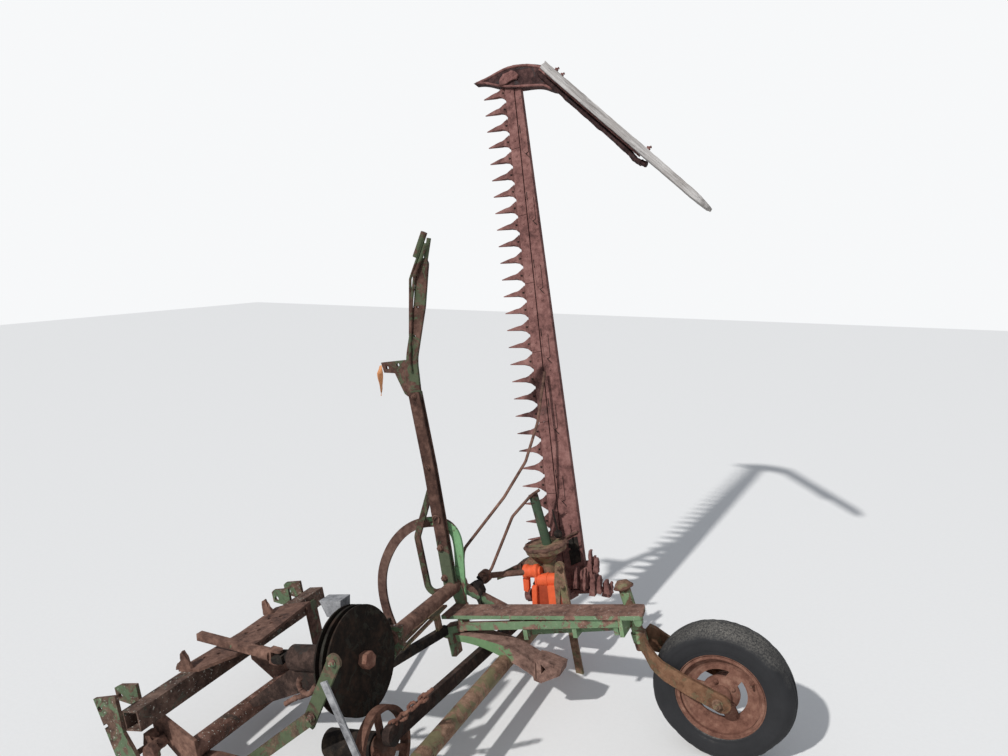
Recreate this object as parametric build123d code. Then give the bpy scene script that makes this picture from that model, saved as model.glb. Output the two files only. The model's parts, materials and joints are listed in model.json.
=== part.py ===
from build123d import *
import math
import os

os.makedirs("parts", exist_ok=True)

# Every piece is drawn with the mower level: +X to its rear, +Y to its right, +Z up, in millimetres.
# The level mower is then tipped nose down onto the floor, as it is parked.
nose_down = 12.0
fold_angle = 78.9
floor_drop = 17.5

# Cutter bar
guard_pitch = 76.2
guard_count = 28
guard_length = 108.0
guard_height = 24.0
guard_tip_width = 3.0
guard_neck_width = 20.0
guard_slot = 6.0
guard_root_back = 46.0
root_depth = 10.0
seat_height = 2.0
rivet_x = -6.0
rivet_radius = 3.5
first_guard = 137.0
bar_lean = 13.0
bar_thickness = 12.0
bar_front = 22.0
bar_groove = 50.0
back_rise = 5.0
bar_back_inner = 144.0
bar_back_outer = 90.0
bar_end_margin = 46.0
bar_below_hinge = 91.0
section_thickness = 3.0
section_tip_reach = 56.0
section_tip_width = 12.0
section_base_width = 50.0
knife_back = 20.0
clips_every = 4
strip_gap = 2.0
guard_joint = 0.8
strip_thickness = 5.0
wear_length = 104.0
wear_width = 26.0
wear_thickness = 3.0

# Fold hinge
hinge_y = -190.0
hinge_z = 250.0
hinge_pin_radius = 11.0
lift_barrel_y = -246.0
lift_barrel_z = 334.0
cup_x = 42.0
cup_y = -208.0
cup_z = 372.0
hinge_fit = 0.05
yoke_barrel_radius = 21.0
yoke_half_length = 62.0
shoe_eye_length = 26.0
side_gap = 5.5

# Grass board
shoe_width = 48.0
board_length = 1002.0
board_width = 140.0
board_thickness = 36.0
board_angle = 52.0

# Drawbar and its lugs
hitch_x = -881.0
hitch_z = 408.0
hitch_left = -1499.0
hitch_right = -547.0
hitch_skew = 3.28
hitch_tube_size = 65.0
hitch_tube_wall = 6.0
hitch_plate_thickness = 10.0
lug_thickness = 12.0
lug_spacing = 77.0
lug_hole_left_x = -992.0
lug_hole_right_x = -979.0
lug_hole_z = 450.0
lug_hole_radius = 9.9

# Drive line
drive_y = -1150.0
drive_z = 448.0
sheave_radius = 165.0
sheave_width = 54.0
sheave_rear = -192.0
groove_depth = 16.0
groove_width = 17.0
drive_shaft_radius = 16.0
drive_fit = 0.05
housing_radius = 41.0
housing_front = -470.0
housing_rear = -272.0
stub_size = 25.4
stub_length = 322.0
stub_rise = 10.9
shank_radius = 21.0
shank_length = 46.0
joint_x = -535.0
yoke_reach = 34.0
yoke_ear = 9.0
yoke_gap = 34.0
cross_radius = 7.0

# Crank and pitman
crank_x = -130.0
crank_y = -1215.0
crank_z = 205.0
flywheel_radius = 121.0
flywheel_rim = 15.0
flywheel_width = 30.0
crank_throw = 42.0
crank_housing_radius = 44.0

# Tubes and rails
front_pipe_x = -720.0
front_pipe_z = 262.0
front_pipe_radius = 32.5
rear_pipe_z = 185.0
rear_pipe_radius = 28.5
pipe_wall = 5.0
low_rail_y = -1370.0
arm_y = -1330.0

# Rear beams and caster
beam_rear = -536.0
beam_front = -636.0
beam_top = 358.0
beam_thickness = 14.0
beam_left = -231.0
beam_right = 455.0
tube_top_x = 460.0
tube_top_z = 412.0
tube_foot_x = 486.0
tube_foot_z = 222.0
caster_y = -530.0
caster_tube_radius = 20.5
caster_stem_radius = 13.0
collar_radius = 26.0
collar_gap = 5.0
caster_fit = 0.05
wheel_x = 736.0
wheel_radius = 229.0
tyre_width = 128.0
rim_radius = 146.0
rim_width = 108.0
slot_outer = 84.0
slot_inner = 61.0
slot_bridge = 46.0
web_offset = 25.0
hub_radius = 34.0
hub_length = 104.0
axle_radius = 10.0
wheel_fit = 0.05
fork_width = 58.0
fork_thickness = 12.0
fork_gap = 22.0

# Lift lever
rock_x = -215.0
rock_z = 430.0
rock_radius = 26.0
rock_bearing_radius = 37.0
rock_fit = 0.05
rock_left = -970.0
rock_right = -490.0
rock_bearing_y = -506.0
left_bearing_y = -955.0
lever_y = -547.0
lever_strap = 8.0
lever_width = 46.0
lever_gap = 12.0
bow_y = -513.0
bow_width = 38.0
bow_thickness = 10.0


def save(name, part):
    solids = [solid for piece in part for solid in piece.solids()] if isinstance(part, list) else part.solids()
    finished[name] = solids[0] if len(solids) == 1 else Compound(solids)


finished = {}


def aim(start, end):
    start, end = Vector(*start), Vector(*end)
    along = (end - start).normalized()
    upright = abs(along.Z) > 0.999
    side = Vector(0, 1, 0) if upright else Vector(0, 0, 1).cross(along).normalized()
    return Plane(origin=start, x_dir=side, z_dir=along), (end - start).length


def beam(start, end, width, height):
    plane, length = aim(start, end)
    return plane * Box(width, height, length, align=(Align.CENTER, Align.CENTER, Align.MIN))


def rod(start, end, radius):
    plane, length = aim(start, end)
    return plane * Cylinder(radius, length, align=(Align.CENTER, Align.CENTER, Align.MIN))


def pipe(start, end, radius, wall):
    return rod(start, end, radius) - rod(start, end, radius - wall)


def plate_xz(points, y, thickness):
    """A flat plate cut to points (x, z), its middle at y."""
    outline = Plane.XZ * make_face(Polyline(*points, close=True))
    return Pos(0, y + thickness / 2, 0) * extrude(outline, thickness)


def plate_xy(points, z, thickness):
    return Pos(0, 0, z) * extrude(make_face(Polyline(*points, close=True)), thickness)


def disc_x(x, y, z, radius, width):
    return Pos(x, y, z) * Rot(0, 90, 0) * Cylinder(radius, width)


def disc_y(x, y, z, radius, width):
    return Pos(x, y, z) * Rot(90, 0, 0) * Cylinder(radius, width)


def bent_bar(points, bend, width, thickness, across=(0, 1, 0)):
    """A bar of flat stock: width runs along across, thickness lies in the plane of the bend."""
    path = FilletPolyline(*points, radius=bend)
    section_plane = Plane(origin=path @ 0, x_dir=across, z_dir=path % 0)
    return sweep(section_plane * Rectangle(width, thickness), path=path)


def flat_band(points, width, y, thickness):
    """A curved band cut from flat plate, its middle line through points (x, z)."""
    outer = []
    inner = []
    for index, (x, z) in enumerate(points):
        before = points[max(index - 1, 0)]
        after = points[min(index + 1, len(points) - 1)]
        along = Vector(after[0] - before[0], after[1] - before[1]).normalized() * (width / 2)
        outer.append((x - along.Y, z + along.X))
        inner.append((x + along.Y, z - along.X))
    inner.reverse()
    edges = Spline(*outer) + Line(outer[-1], inner[0]) + Spline(*inner) + Line(inner[-1], outer[0])
    return Pos(0, y + thickness / 2, 0) * extrude(Plane.XZ * make_face(edges), thickness)


def bent_rod(points, bend, radius):
    path = FilletPolyline(*points, radius=bend)
    return sweep(Plane(origin=path @ 0, z_dir=path % 0) * Circle(radius), path=path)


# The cutter bar is drawn as it lies when mowing: x to the rear, y outward from the hinge, z up.
bar_z = -bar_below_hinge
last_guard = first_guard + guard_pitch * (guard_count - 1)
bar_end = last_guard + bar_end_margin
half_pitch = guard_pitch / 2
root_half = half_pitch - guard_joint / 2


def guard_outline():
    """One guard from above: a slender point that flares in two hollow curves to its square root."""
    neck_x = -guard_length * 0.42
    sides = []
    for mirror in (1, -1):
        sides.append([(-guard_length, guard_tip_width / 2 * mirror), (neck_x, guard_neck_width / 2 * mirror),
                      (0, root_half * mirror)])
    left, right = sides
    edges = Line(left[0], left[1])
    edges += ThreePointArc(left[1], (neck_x * 0.3, half_pitch * 0.52), left[2])
    edges += Line(left[2], (guard_root_back, root_half))
    edges += Line((guard_root_back, root_half), (guard_root_back, -root_half))
    edges += Line((guard_root_back, -root_half), right[2])
    edges += ThreePointArc(right[2], (neck_x * 0.3, -half_pitch * 0.52), right[1])
    edges += Line(right[1], right[0])
    edges += Line(right[0], left[0])
    return make_face(edges)


def guard():
    half = guard_height / 2
    plan = extrude(guard_outline(), guard_height * 2, both=True)
    side = [(-guard_length, -2), (-guard_length, 2), (-60, half - 2), (-14, half), (-2, seat_height),
            (guard_root_back, seat_height), (guard_root_back, -root_depth), (-4, -root_depth), (-40, -half)]
    body = plan & plate_xz(side, 0, guard_pitch)
    slot_length = section_tip_reach + knife_back + 6
    slot_x = knife_back + 2 - slot_length / 2
    body -= Pos(slot_x, 0, seat_height - guard_slot / 2) * Box(slot_length, guard_pitch, guard_slot)
    return body - Pos(rivet_x, 0, 0) * Cylinder(rivet_radius, 4 * guard_height)


def cutter_bar():
    one = guard()
    places = [first_guard + guard_pitch * index for index in range(guard_count)]
    save("guards", [leaned(Pos(0, place, bar_z) * one) for place in places])

    seat = bar_z - root_depth
    base = [(bar_front, 0), (bar_back_inner, 0), (bar_back_outer, bar_end), (bar_front + bar_lean, bar_end)]
    back = [(bar_groove, 0), (bar_back_inner, 0), (bar_back_outer, bar_end), (bar_groove + bar_lean, bar_end)]
    bar = plate_xy(base, seat - bar_thickness, bar_thickness)
    save("bar_plate", bar + plate_xy(back, seat, root_depth + back_rise))

    half = section_tip_width / 2
    wide = section_base_width / 2
    section = [(-section_tip_reach, -half), (-section_tip_reach, half), (0, wide), (2, half_pitch),
               (knife_back, half_pitch), (knife_back, -half_pitch), (2, -half_pitch), (0, -wide)]
    knife = Part()
    knife_z = bar_z + seat_height - (guard_slot + section_thickness) / 2
    for place in places:
        knife += Pos(0, place, 0) * plate_xy(section, knife_z, section_thickness)
    save("knife", leaned(knife))

    strips = []
    wear = []
    strip_z = bar_z + seat_height
    for first in range(0, guard_count, clips_every):
        start = places[first] - half_pitch
        length = guard_pitch * min(clips_every, guard_count - first) - strip_gap
        strip = Pos(guard_root_back / 2 + 2, start + length / 2, strip_z + strip_thickness / 2) * Box(
            guard_root_back - 4, length, strip_thickness)
        strips.append(strip)
        if first:
            low, high = start - wear_length * 0.35, start + wear_length * 0.65
            left, right = bar_groove + 10, bar_groove + 10 + wear_width
            wear.append(plate_xy([(left, low + 16), (left + 12, low), (right, low + 6), (right, high), (left, high)],
                                 bar_z + back_rise, wear_thickness))
    save("hold_downs", [leaned(piece) for piece in strips + wear])


def leaned(part):
    """The guards' line leans back a little towards its outer end."""
    angle = math.degrees(math.atan2(bar_lean, bar_end))
    return Rot(0, 0, -angle) * part


def fold_up(part):
    return Pos(0, hinge_y, hinge_z) * Rot(fold_angle, 0, 0) * part


def shoes_and_board():
    inner = plate_xy([(-118, 20), (-80, -16), (188, -16), (200, 30), (150, 112), (-20, 104), (-90, 60)],
                     bar_z - root_depth - bar_thickness - 14, 14)
    wall = plate_xz([(-70, bar_z - 30), (170, bar_z - 30), (150, bar_z + 20), (60, bar_z + 36),
                     (-40, bar_z + 20)], -8, 12)
    inner += wall
    eye_half = yoke_half_length + side_gap + shoe_eye_length
    for side in (-1, 1):
        middle = side * (yoke_half_length + side_gap + shoe_eye_length / 2)
        eye = disc_x(middle, 0, 0, 24, shoe_eye_length)
        arm = Pos(middle, -16, bar_z / 2 - 8) * Box(shoe_eye_length, 26, bar_below_hinge + 16)
        inner += eye + arm
    pin = disc_x(0, 0, 0, hinge_pin_radius, 2 * eye_half)
    save("inner_shoe", inner + pin)

    runner = [(-130, bar_end + 38), (-65, bar_end + 43), (0, bar_end + 56), (50, bar_end + 60),
              (100, bar_end + 52), (157, bar_end + 36), (222, bar_end + 6)]
    keel = [(277, bar_end - 119), (250, bar_end - 112), (200, bar_end - 80), (90, bar_end - 50), (0, bar_end - 20),
            (-60, bar_end + 14)]
    edges = Spline(*runner) + Line(runner[-1], keel[0]) + Spline(*keel, runner[0])
    outer = extrude(make_face(edges), shoe_width)
    outer = Pos(0, 0, bar_z - shoe_width * 0.6) * outer - finished["bar_plate"] - finished["guards"]
    save("outer_shoe", outer - finished["hold_downs"] - finished["knife"])

    board = Box(board_length, board_thickness, board_width, align=(Align.MIN, Align.CENTER, Align.CENTER))
    start = (219, bar_end + 4, bar_z + 20)
    save("grass_board", Pos(*start) * Rot(0, 0, -board_angle) * board - finished["outer_shoe"])
    strap = Box(board_length * 0.62, 7, 38, align=(Align.MIN, Align.CENTER, Align.CENTER))
    strap = Pos(*start) * Rot(0, 0, -board_angle) * Pos(0, -board_thickness / 2 - 3.5, 0) * strap
    save("board_strap", strap - finished["outer_shoe"])


def skewed(part):
    """The drawbar tube is bent round a little about its right end, and what it carries with it."""
    return Pos(hitch_x, hitch_right, 0) * Rot(0, 0, hitch_skew) * Pos(-hitch_x, -hitch_right, 0) * part


def hitch():
    outer = Box(hitch_tube_size, hitch_right - hitch_left, hitch_tube_size)
    bore = hitch_tube_size - 2 * hitch_tube_wall
    inner = Box(bore, hitch_right - hitch_left, bore)
    middle = (hitch_left + hitch_right) / 2
    save("hitch_tube", skewed(Pos(hitch_x, middle, hitch_z) * (outer - inner)))

    top = hitch_z + hitch_tube_size / 2
    plate = plate_xy([(-884, -1260), (-875, -986), (-900, -770), (-868, -740), (-772, -712), (-745, -880),
                      (-716, -1058), (-732, -1147), (-795, -1254)], top, hitch_plate_thickness)
    holes = [(-812, -1147), (-848, -1175), (-800, -850), (-838, -870), (-796, -905), (-836, -930),
             (-800, -965), (-838, -990)]
    for x, y in holes:
        plate -= Pos(x, y, top) * Cylinder(8, 60)
    save("drawbar_plate", plate)

    front = hitch_x - hitch_tube_size / 2
    strap = [(-1010, 483), (front, 493), (front, 375), (-880, 300), (-850, 60), (-920, 60)]
    lug = [(-1010, 437), (-1010, 478), (-985, 487), (front, 489), (front, 400), (-940, 420)]
    right = [(max(x, -998) if x < front else x, z) for x, z in lug]
    # each lug: name, outline, middle y, x of its hole
    lugs = [("strap_left", strap, hitch_left - lug_thickness / 2, lug_hole_left_x),
            ("lug_left", lug, hitch_left - lug_thickness / 2 + lug_spacing, lug_hole_left_x),
            ("lug_right_inner", right, hitch_right - 50 - lug_spacing, lug_hole_right_x),
            ("lug_right_outer", right, hitch_right - 50, lug_hole_right_x)]
    for name, outline, y, hole_x in lugs:
        piece = plate_xz(outline, y, lug_thickness)
        piece -= disc_y(hole_x, y, lug_hole_z, lug_hole_radius, 60)
        if outline is strap:
            piece -= disc_y(hole_x + 10, y, lug_hole_z - 56, lug_hole_radius, 60)
        save(name, skewed(piece) - below_floor)
    rear = hitch_x + hitch_tube_size / 2
    foot = Pos(rear + 6, -650, 220) * Box(12, 62, 400)
    save("foot_right", skewed(foot) - below_floor)


def lower_frame():
    pipe_left, pipe_right = -1400, -955
    save("front_pipe", pipe((front_pipe_x, pipe_left, front_pipe_z), (front_pipe_x, pipe_right, front_pipe_z),
                            front_pipe_radius, pipe_wall))
    tube_low = hitch_z - hitch_tube_size / 2
    # each hanger: name, middle y, middle x of the drawbar tube above it
    for name, y, tube_x in (("hanger_left", pipe_left - 6, -832), ("hanger_right", pipe_right + 6, -858)):
        hanger = plate_xz([(tube_x - 25, tube_low), (tube_x + 25, tube_low), (front_pipe_x + 34, 300),
                           (front_pipe_x + 34, 228), (front_pipe_x - 40, 228), (tube_x - 25, 330)], y, 12)
        save(name, hanger)
    front_z = front_pipe_z - front_pipe_radius - 19
    rear_z = rear_pipe_z - rear_pipe_radius - 19
    save("left_rail", bent_bar([(front_pipe_x - 30, low_rail_y, front_z), (front_pipe_x + 60, low_rail_y, front_z),
                                (-60, low_rail_y, rear_z), (40, low_rail_y, rear_z)], 60, 50, 38))
    save("rear_pipe", pipe((0, -1400, rear_pipe_z), (0, -280, rear_pipe_z), rear_pipe_radius, pipe_wall))
    knee = (-345, left_bearing_y + 19, 286)
    rail = beam((front_pipe_x + 34, -930, 262), knee, 24, 44) + beam(knee, (-231, -618, 296), 24, 32)
    save("right_rail", rail + beam((-562, bow_y - 5, 280), (-476, left_bearing_y + 25, 276), 12, 30))
    arm = beam((-290, arm_y, 336), (-142, arm_y, 535), 10, 42) + disc_y(-142, arm_y, 535, 24, 10)
    arm -= disc_y(-142, arm_y, 535, 10, 30)
    brace = beam((-560, arm_y - 15, 196), (-262, arm_y - 15, 366), 20, 40)
    save("tension_arm", arm + brace - finished["left_rail"])


def drive():
    middle = (housing_front + housing_rear) / 2
    length = housing_rear - housing_front
    housing = disc_x(middle, drive_y, drive_z, housing_radius, length)
    saddle = plate_xz([(housing_front + 10, drive_z - 20), (housing_front + 110, drive_z - 20),
                       (housing_front + 90, drive_z - 90), (front_pipe_x + 30, 270), (front_pipe_x - 20, 270)],
                      drive_y, 30)
    saddle -= rod((front_pipe_x, -1400, front_pipe_z), (front_pipe_x, -955, front_pipe_z), front_pipe_radius)
    bore = disc_x(middle, drive_y, drive_z, drive_shaft_radius + drive_fit, length + 200)
    save("drive_housing", housing + saddle - bore)

    yoke_rear = joint_x + yoke_reach
    shaft = disc_x((yoke_rear + sheave_rear) / 2, drive_y, drive_z, drive_shaft_radius, sheave_rear - yoke_rear)
    at_joint = Pos(joint_x, drive_y, drive_z)
    shaft += at_joint * joint_yoke()
    shaft += at_joint * (Rot(90, 0, 0) * Cylinder(cross_radius, yoke_gap) + Box(20, 20, 20))
    save("drive_shaft", shaft)
    sheave_middle = sheave_rear - sheave_width / 2
    disc = disc_x(sheave_middle, drive_y, drive_z, sheave_radius, sheave_width)
    for offset in (-13, 13):
        ring = disc_x(sheave_middle + offset, drive_y, drive_z, sheave_radius + 5, groove_width)
        ring -= disc_x(sheave_middle + offset, drive_y, drive_z, sheave_radius - groove_depth, groove_width)
        disc -= ring
    disc -= disc_x(sheave_middle, drive_y, drive_z, drive_shaft_radius, 100)
    save("sheave", disc)
    nut = extrude(Plane.YZ * RegularPolygon(27, 6), 30)
    save("sheave_nut", Pos(sheave_rear, drive_y, drive_z) * nut)

    stub = Rot(0, 180 + stub_rise, 0) * (Rot(90, 0, 0) * joint_yoke())
    bar = Pos(yoke_reach + stub_length / 2, 0, 0) * Box(stub_length, stub_size, stub_size)
    bar += Pos(yoke_reach + shank_length / 2, 0, 0) * Rot(0, 90, 0) * Cylinder(shank_radius, shank_length)
    save("input_stub", at_joint * (stub + Rot(0, 180 + stub_rise, 0) * bar))


def joint_yoke():
    """A two-eared yoke of the drive joint, its shank along +X and its pin along Y."""
    ears = Part()
    for side in (-1, 1):
        y = side * (yoke_gap + yoke_ear) / 2
        ears += Pos(yoke_reach / 2, y, 0) * Box(yoke_reach, yoke_ear, 26)
        ears += Pos(0, y, 0) * Rot(90, 0, 0) * Cylinder(13, yoke_ear)
    web = Pos(yoke_reach - 5, 0, 0) * Box(10, yoke_gap + 2 * yoke_ear, 26)
    return ears + web


def crank():
    rim = disc_x(crank_x, crank_y, crank_z, flywheel_radius, flywheel_width)
    rim -= disc_x(crank_x, crank_y, crank_z, flywheel_radius - flywheel_rim, flywheel_width)
    hub = disc_x(crank_x, crank_y, crank_z, 36, 44)
    for angle in (0, 120, 240):
        spoke = Pos(crank_x, crank_y, crank_z) * Rot(angle, 0, 0) * Pos(0, 0, 70) * Box(14, 20, 80)
        hub += spoke
    save("flywheel", rim + hub)
    housing = disc_x(-242, crank_y, crank_z, crank_housing_radius, 180)
    foot = Pos(-260, (crank_y + low_rail_y + 25) / 2, 172) * Box(90, crank_y - low_rail_y - 25, 44)
    save("crank_housing", housing + foot)
    eye = disc_x(crank_x + 38, crank_y, crank_z + crank_throw, 30, 26)
    rail = beam((crank_x + 38, crank_y + 20, crank_z + crank_throw), (-86, -236, 190), 24, 44)
    pin = disc_x(crank_x + 25, crank_y, crank_z + crank_throw + 6, 10, 36)
    save("pitman", eye + rail + pin)


def beams():
    low = beam_top - beam_thickness
    middle = (beam_front + beam_rear) / 2
    tube = rod((tube_foot_x, caster_y, tube_foot_z), (tube_top_x, caster_y, tube_top_z), caster_tube_radius)
    flat = plate_xy([(beam_left, beam_front), (beam_left, bow_y - 5), (beam_left + 54, bow_y - 5),
                     (beam_left + 60, beam_rear), (beam_right + 38, beam_rear - 4), (beam_right + 54, beam_rear - 24),
                     (beam_right + 46, beam_front + 20), (beam_right + 20, beam_front)],
                    low, beam_thickness)
    save("upper_beam", flat - tube)
    front_bar = beam((-168, beam_front + 16, 310), (beam_right, beam_front + 16, 329), 12, 30)
    rear_bar = beam((83, beam_rear - 44, 275), (beam_right, beam_rear - 44, 298), 10, 24)
    webs = Part()
    for x, foot in ((96, 262), (286, 272), (438, 284)):
        webs += plate_xz([(x - 8, foot), (x + 8, foot), (x + 8, low), (x - 8, low)], middle, 70)
    save("lower_beam", front_bar + rear_bar + webs - flat)
    bracket = plate_xz([(-263, 272), (-238, 304), (-170, 315), (-170, low), (-152, low), (-152, 292), (-206, 283),
                        (-208, 192), (-228, 192), (-230, 262)], -600, 50)
    save("beam_bracket", bracket - finished["right_rail"] - front_bar)
    top_edge = [(-185, 284), (-120, 279), (-60, 266), (18, 242), (69, 217), (121, 184)]
    low_edge = [(112, 128), (60, 166), (0, 200), (-60, 230), (-120, 250), (-180, 260)]
    edges = Spline(*top_edge) + Line(top_edge[-1], low_edge[0]) + Spline(*low_edge) + Line(low_edge[-1], top_edge[0])
    arm = Pos(0, -560, 0) * extrude(Plane.XZ * make_face(edges), 80)
    casting = plate_xz([(98, 176), (100, 116), (125, 106), (204, 136), (216, 166), (176, 182), (150, 192),
                        (120, 198)], -600, 66)
    casting -= plate_xz([(134, 142), (158, 156), (139, 178)], -600, 100)
    below = rod((0, -1400, rear_pipe_z), (0, -280, rear_pipe_z), rear_pipe_radius)
    save("curved_arm", arm + casting - finished["beam_bracket"] - below)
    bearing = plate_xz([(-372, 266), (-318, 266), (rock_x + 40, rock_z - 30), (rock_x + 40, rock_z + 36),
                        (rock_x - 38, rock_z + 36), (rock_x - 42, rock_z)], left_bearing_y, 14)
    bearing -= disc_y(rock_x, left_bearing_y, rock_z, rock_radius + rock_fit, 60)
    save("left_bearing", bearing - finished["right_rail"])


def caster():
    top = (tube_top_x, caster_y, tube_top_z)
    foot = (tube_foot_x, caster_y, tube_foot_z)
    plane, length = aim(foot, top)
    tube = pipe(foot, top, caster_tube_radius, caster_tube_radius - caster_stem_radius - caster_fit)
    collar = plane * Cylinder(collar_radius, 34, align=(Align.CENTER, Align.CENTER, Align.MIN))
    collar -= plane * Cylinder(caster_stem_radius + caster_fit, 80)
    gusset_depth = caster_y - beam_front
    gusset = Pos(beam_right + 7, beam_front + gusset_depth / 2, 314) * Box(14, gusset_depth, 60)
    gusset -= rod(foot, top, caster_tube_radius - 2)
    save("caster_tube", tube + collar + gusset - finished["lower_beam"] - finished["upper_beam"])

    stem = plane * Pos(0, 0, -24) * Cylinder(caster_stem_radius, length + 34,
                                             align=(Align.CENTER, Align.CENTER, Align.MIN))
    cap = plane * Pos(0, 0, length + 1) * Cylinder(caster_tube_radius + 3, 14,
                                                   align=(Align.CENTER, Align.CENTER, Align.MIN))
    side = tyre_width / 2 + fork_gap + fork_thickness / 2
    stem_head = plane * Pos(0, 0, -26) * Cylinder(caster_tube_radius + 4, 25,
                                                  align=(Align.CENTER, Align.CENTER, Align.MIN))
    save("caster_stem", stem + cap + stem_head)
    inside = side - fork_thickness / 2
    outside = side + fork_thickness / 2
    spread = [(478, 20), (500, 36), (526, 66), (572, outside - 8), (640, outside), (wheel_x + 60, outside),
              (wheel_x + 60, inside), (642, inside), (578, inside - 8), (537, 60), (512, 28), (486, 8)]
    curve = bent_bar([(490, caster_y, 243), (548, caster_y, 174), (wheel_x + 14, caster_y, wheel_z - 2)], 110,
                     4 * side, fork_width)
    curve += disc_y(wheel_x + 12, caster_y, wheel_z - 1, fork_width / 2 + 1, 4 * side)
    swing = plane * Pos(0, 0, -collar_gap) * Cylinder(collar_radius + collar_gap, length,
                                                      align=(Align.CENTER, Align.CENTER, Align.MIN))
    for name, sign in (("fork_left", -1), ("fork_right", 1)):
        strip = plate_xy([(x, caster_y + sign * offset) for x, offset in spread], -100, 500)
        arm = curve & strip
        arm -= disc_y(wheel_x, caster_y, wheel_z, axle_radius, 4 * side)
        save(name, arm - finished["caster_stem"] - swing)
    save("axle", disc_y(wheel_x, caster_y, wheel_z, axle_radius, 2 * side + 44))

    tyre = wheel_ring([(rim_radius, rim_width / 2), (rim_radius + 16, tyre_width / 2 - 4),
                       (rim_radius + 36, tyre_width / 2), (wheel_radius - 16, tyre_width / 2 - 12),
                       (wheel_radius - 4, 36), (wheel_radius, 18)], rim_radius - 6)
    save("tyre", tyre)
    flange = 9
    rim = wheel_ring([(rim_radius - 6.3, rim_width / 2)], rim_radius - 6.3 - flange)
    web_y = caster_y - web_offset
    web = disc_y(wheel_x, web_y, wheel_z, rim_radius - 6.3 - flange + 1, 7)
    slots = disc_y(wheel_x, web_y, wheel_z, slot_outer, 30) - disc_y(wheel_x, web_y, wheel_z, slot_inner, 30)
    for angle in (46, 166, 286):
        spoke = Box(2 * slot_outer, 30, slot_bridge, align=(Align.MIN, Align.CENTER, Align.CENTER))
        slots -= Pos(wheel_x, web_y, wheel_z) * Rot(0, -angle, 0) * spoke
    web -= slots
    hub = disc_y(wheel_x, caster_y, wheel_z, hub_radius, hub_length)
    bore = disc_y(wheel_x, caster_y, wheel_z, axle_radius + wheel_fit, 200)
    save("rim", rim + web + hub - bore)


def wheel_ring(half_profile, inner):
    """Turned about the axle from (radius, half width) pairs, listed from the inside out."""
    points = [(radius, half) for radius, half in half_profile]
    points += [(radius, -half) for radius, half in reversed(half_profile)]
    points = [(inner, half_profile[0][1])] + points + [(inner, -half_profile[0][1])]
    face = make_face(Polyline(*points, close=True))
    ring = revolve(face, Axis.Y, 360)
    return Pos(wheel_x, caster_y, wheel_z) * ring


def quadrant():
    shaft = disc_y(rock_x, rock_bearing_y, rock_z, rock_radius + rock_fit, 80)
    bearing = disc_y(rock_x, rock_bearing_y, rock_z, rock_bearing_radius, 26)
    bow = flat_band([(-557, 262), (-571, 340), (-568, 420), (-546, 495), (-512, 552), (-464, 606), (-412, 645),
                     (-360, 669), (-306, 680), (-252, 680), (-206, 666), (-181, 636), (-174, 590), (-180, 535),
                     (-191, 465), (-201, 400), (-207, beam_top - beam_thickness)], bow_width, bow_y, bow_thickness)
    save("quadrant_bow", bow - bearing - finished["right_rail"])
    upper = (rock_x, rock_bearing_y - 4, rock_z)
    brace = rod(upper, (-30, -330, rear_pipe_z + 10), 20) + bearing
    stand = plate_xz([(rock_x - 10, beam_top), (rock_x + 34, beam_top), (rock_x + 28, rock_z), (rock_x - 28, rock_z)],
                     beam_rear + 12, 12)
    brace += stand - shaft
    brace -= rod((0, -1400, rear_pipe_z), (0, -280, rear_pipe_z), rear_pipe_radius)
    save("brace_pipe", brace - shaft - finished["quadrant_bow"])
    save("hold_up_rod", bent_rod([(-190, -500, 462), (-184, -466, 549), (-39, -330, 707), (35, -230, 820),
                                  (63, -110, 950), (70, 46, 1140)], 60, 6) - brace)
    save("trip_rod", bent_rod([(-225, -405, 330), (-133, -370, 434), (-34, -300, 619), (22, -214, 676),
                               (60, -206, 694)], 30, 6) + rod((24, hinge_y - 4, 664), (22, hinge_y - 4, 676), 19))


def small_ironwork():
    flat = beam((-211, left_bearing_y + 6, 380), (-243, -600, 380), 44, 8)
    slot = beam((-214, -905, 380), (-232, -708, 380), 14, 20)
    post = beam((-241, -650, 380), (-241, -650, 306), 30, 12)
    save("slotted_bar", flat - slot + post - finished["left_bearing"] - finished["right_rail"])
    hook = bent_rod([(-700, -975, 262), (-640, -1010, 280), (-625, -1045, 262)], 14, 9)
    hook += bent_rod([(-700, -1000, 262), (-600, -1030, 262), (-566, -985, 262), (-566, -948, 262)], 18, 9)
    save("pipe_hooks", hook - finished["front_pipe"] - finished["hanger_right"] - finished["right_rail"])
    shield = plate_xz([(-340, 628), (-254, 628), (-268, 574), (-322, 574)], -1100, 50)
    shield += Pos(-294, -1110, 520) * Box(12, 30, 112)
    save("housing_post", shield - finished["drive_housing"])
    save("gray_strap", beam((-188, arm_y - 8, 478), (-125, arm_y - 8, 255), 6, 24))


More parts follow.
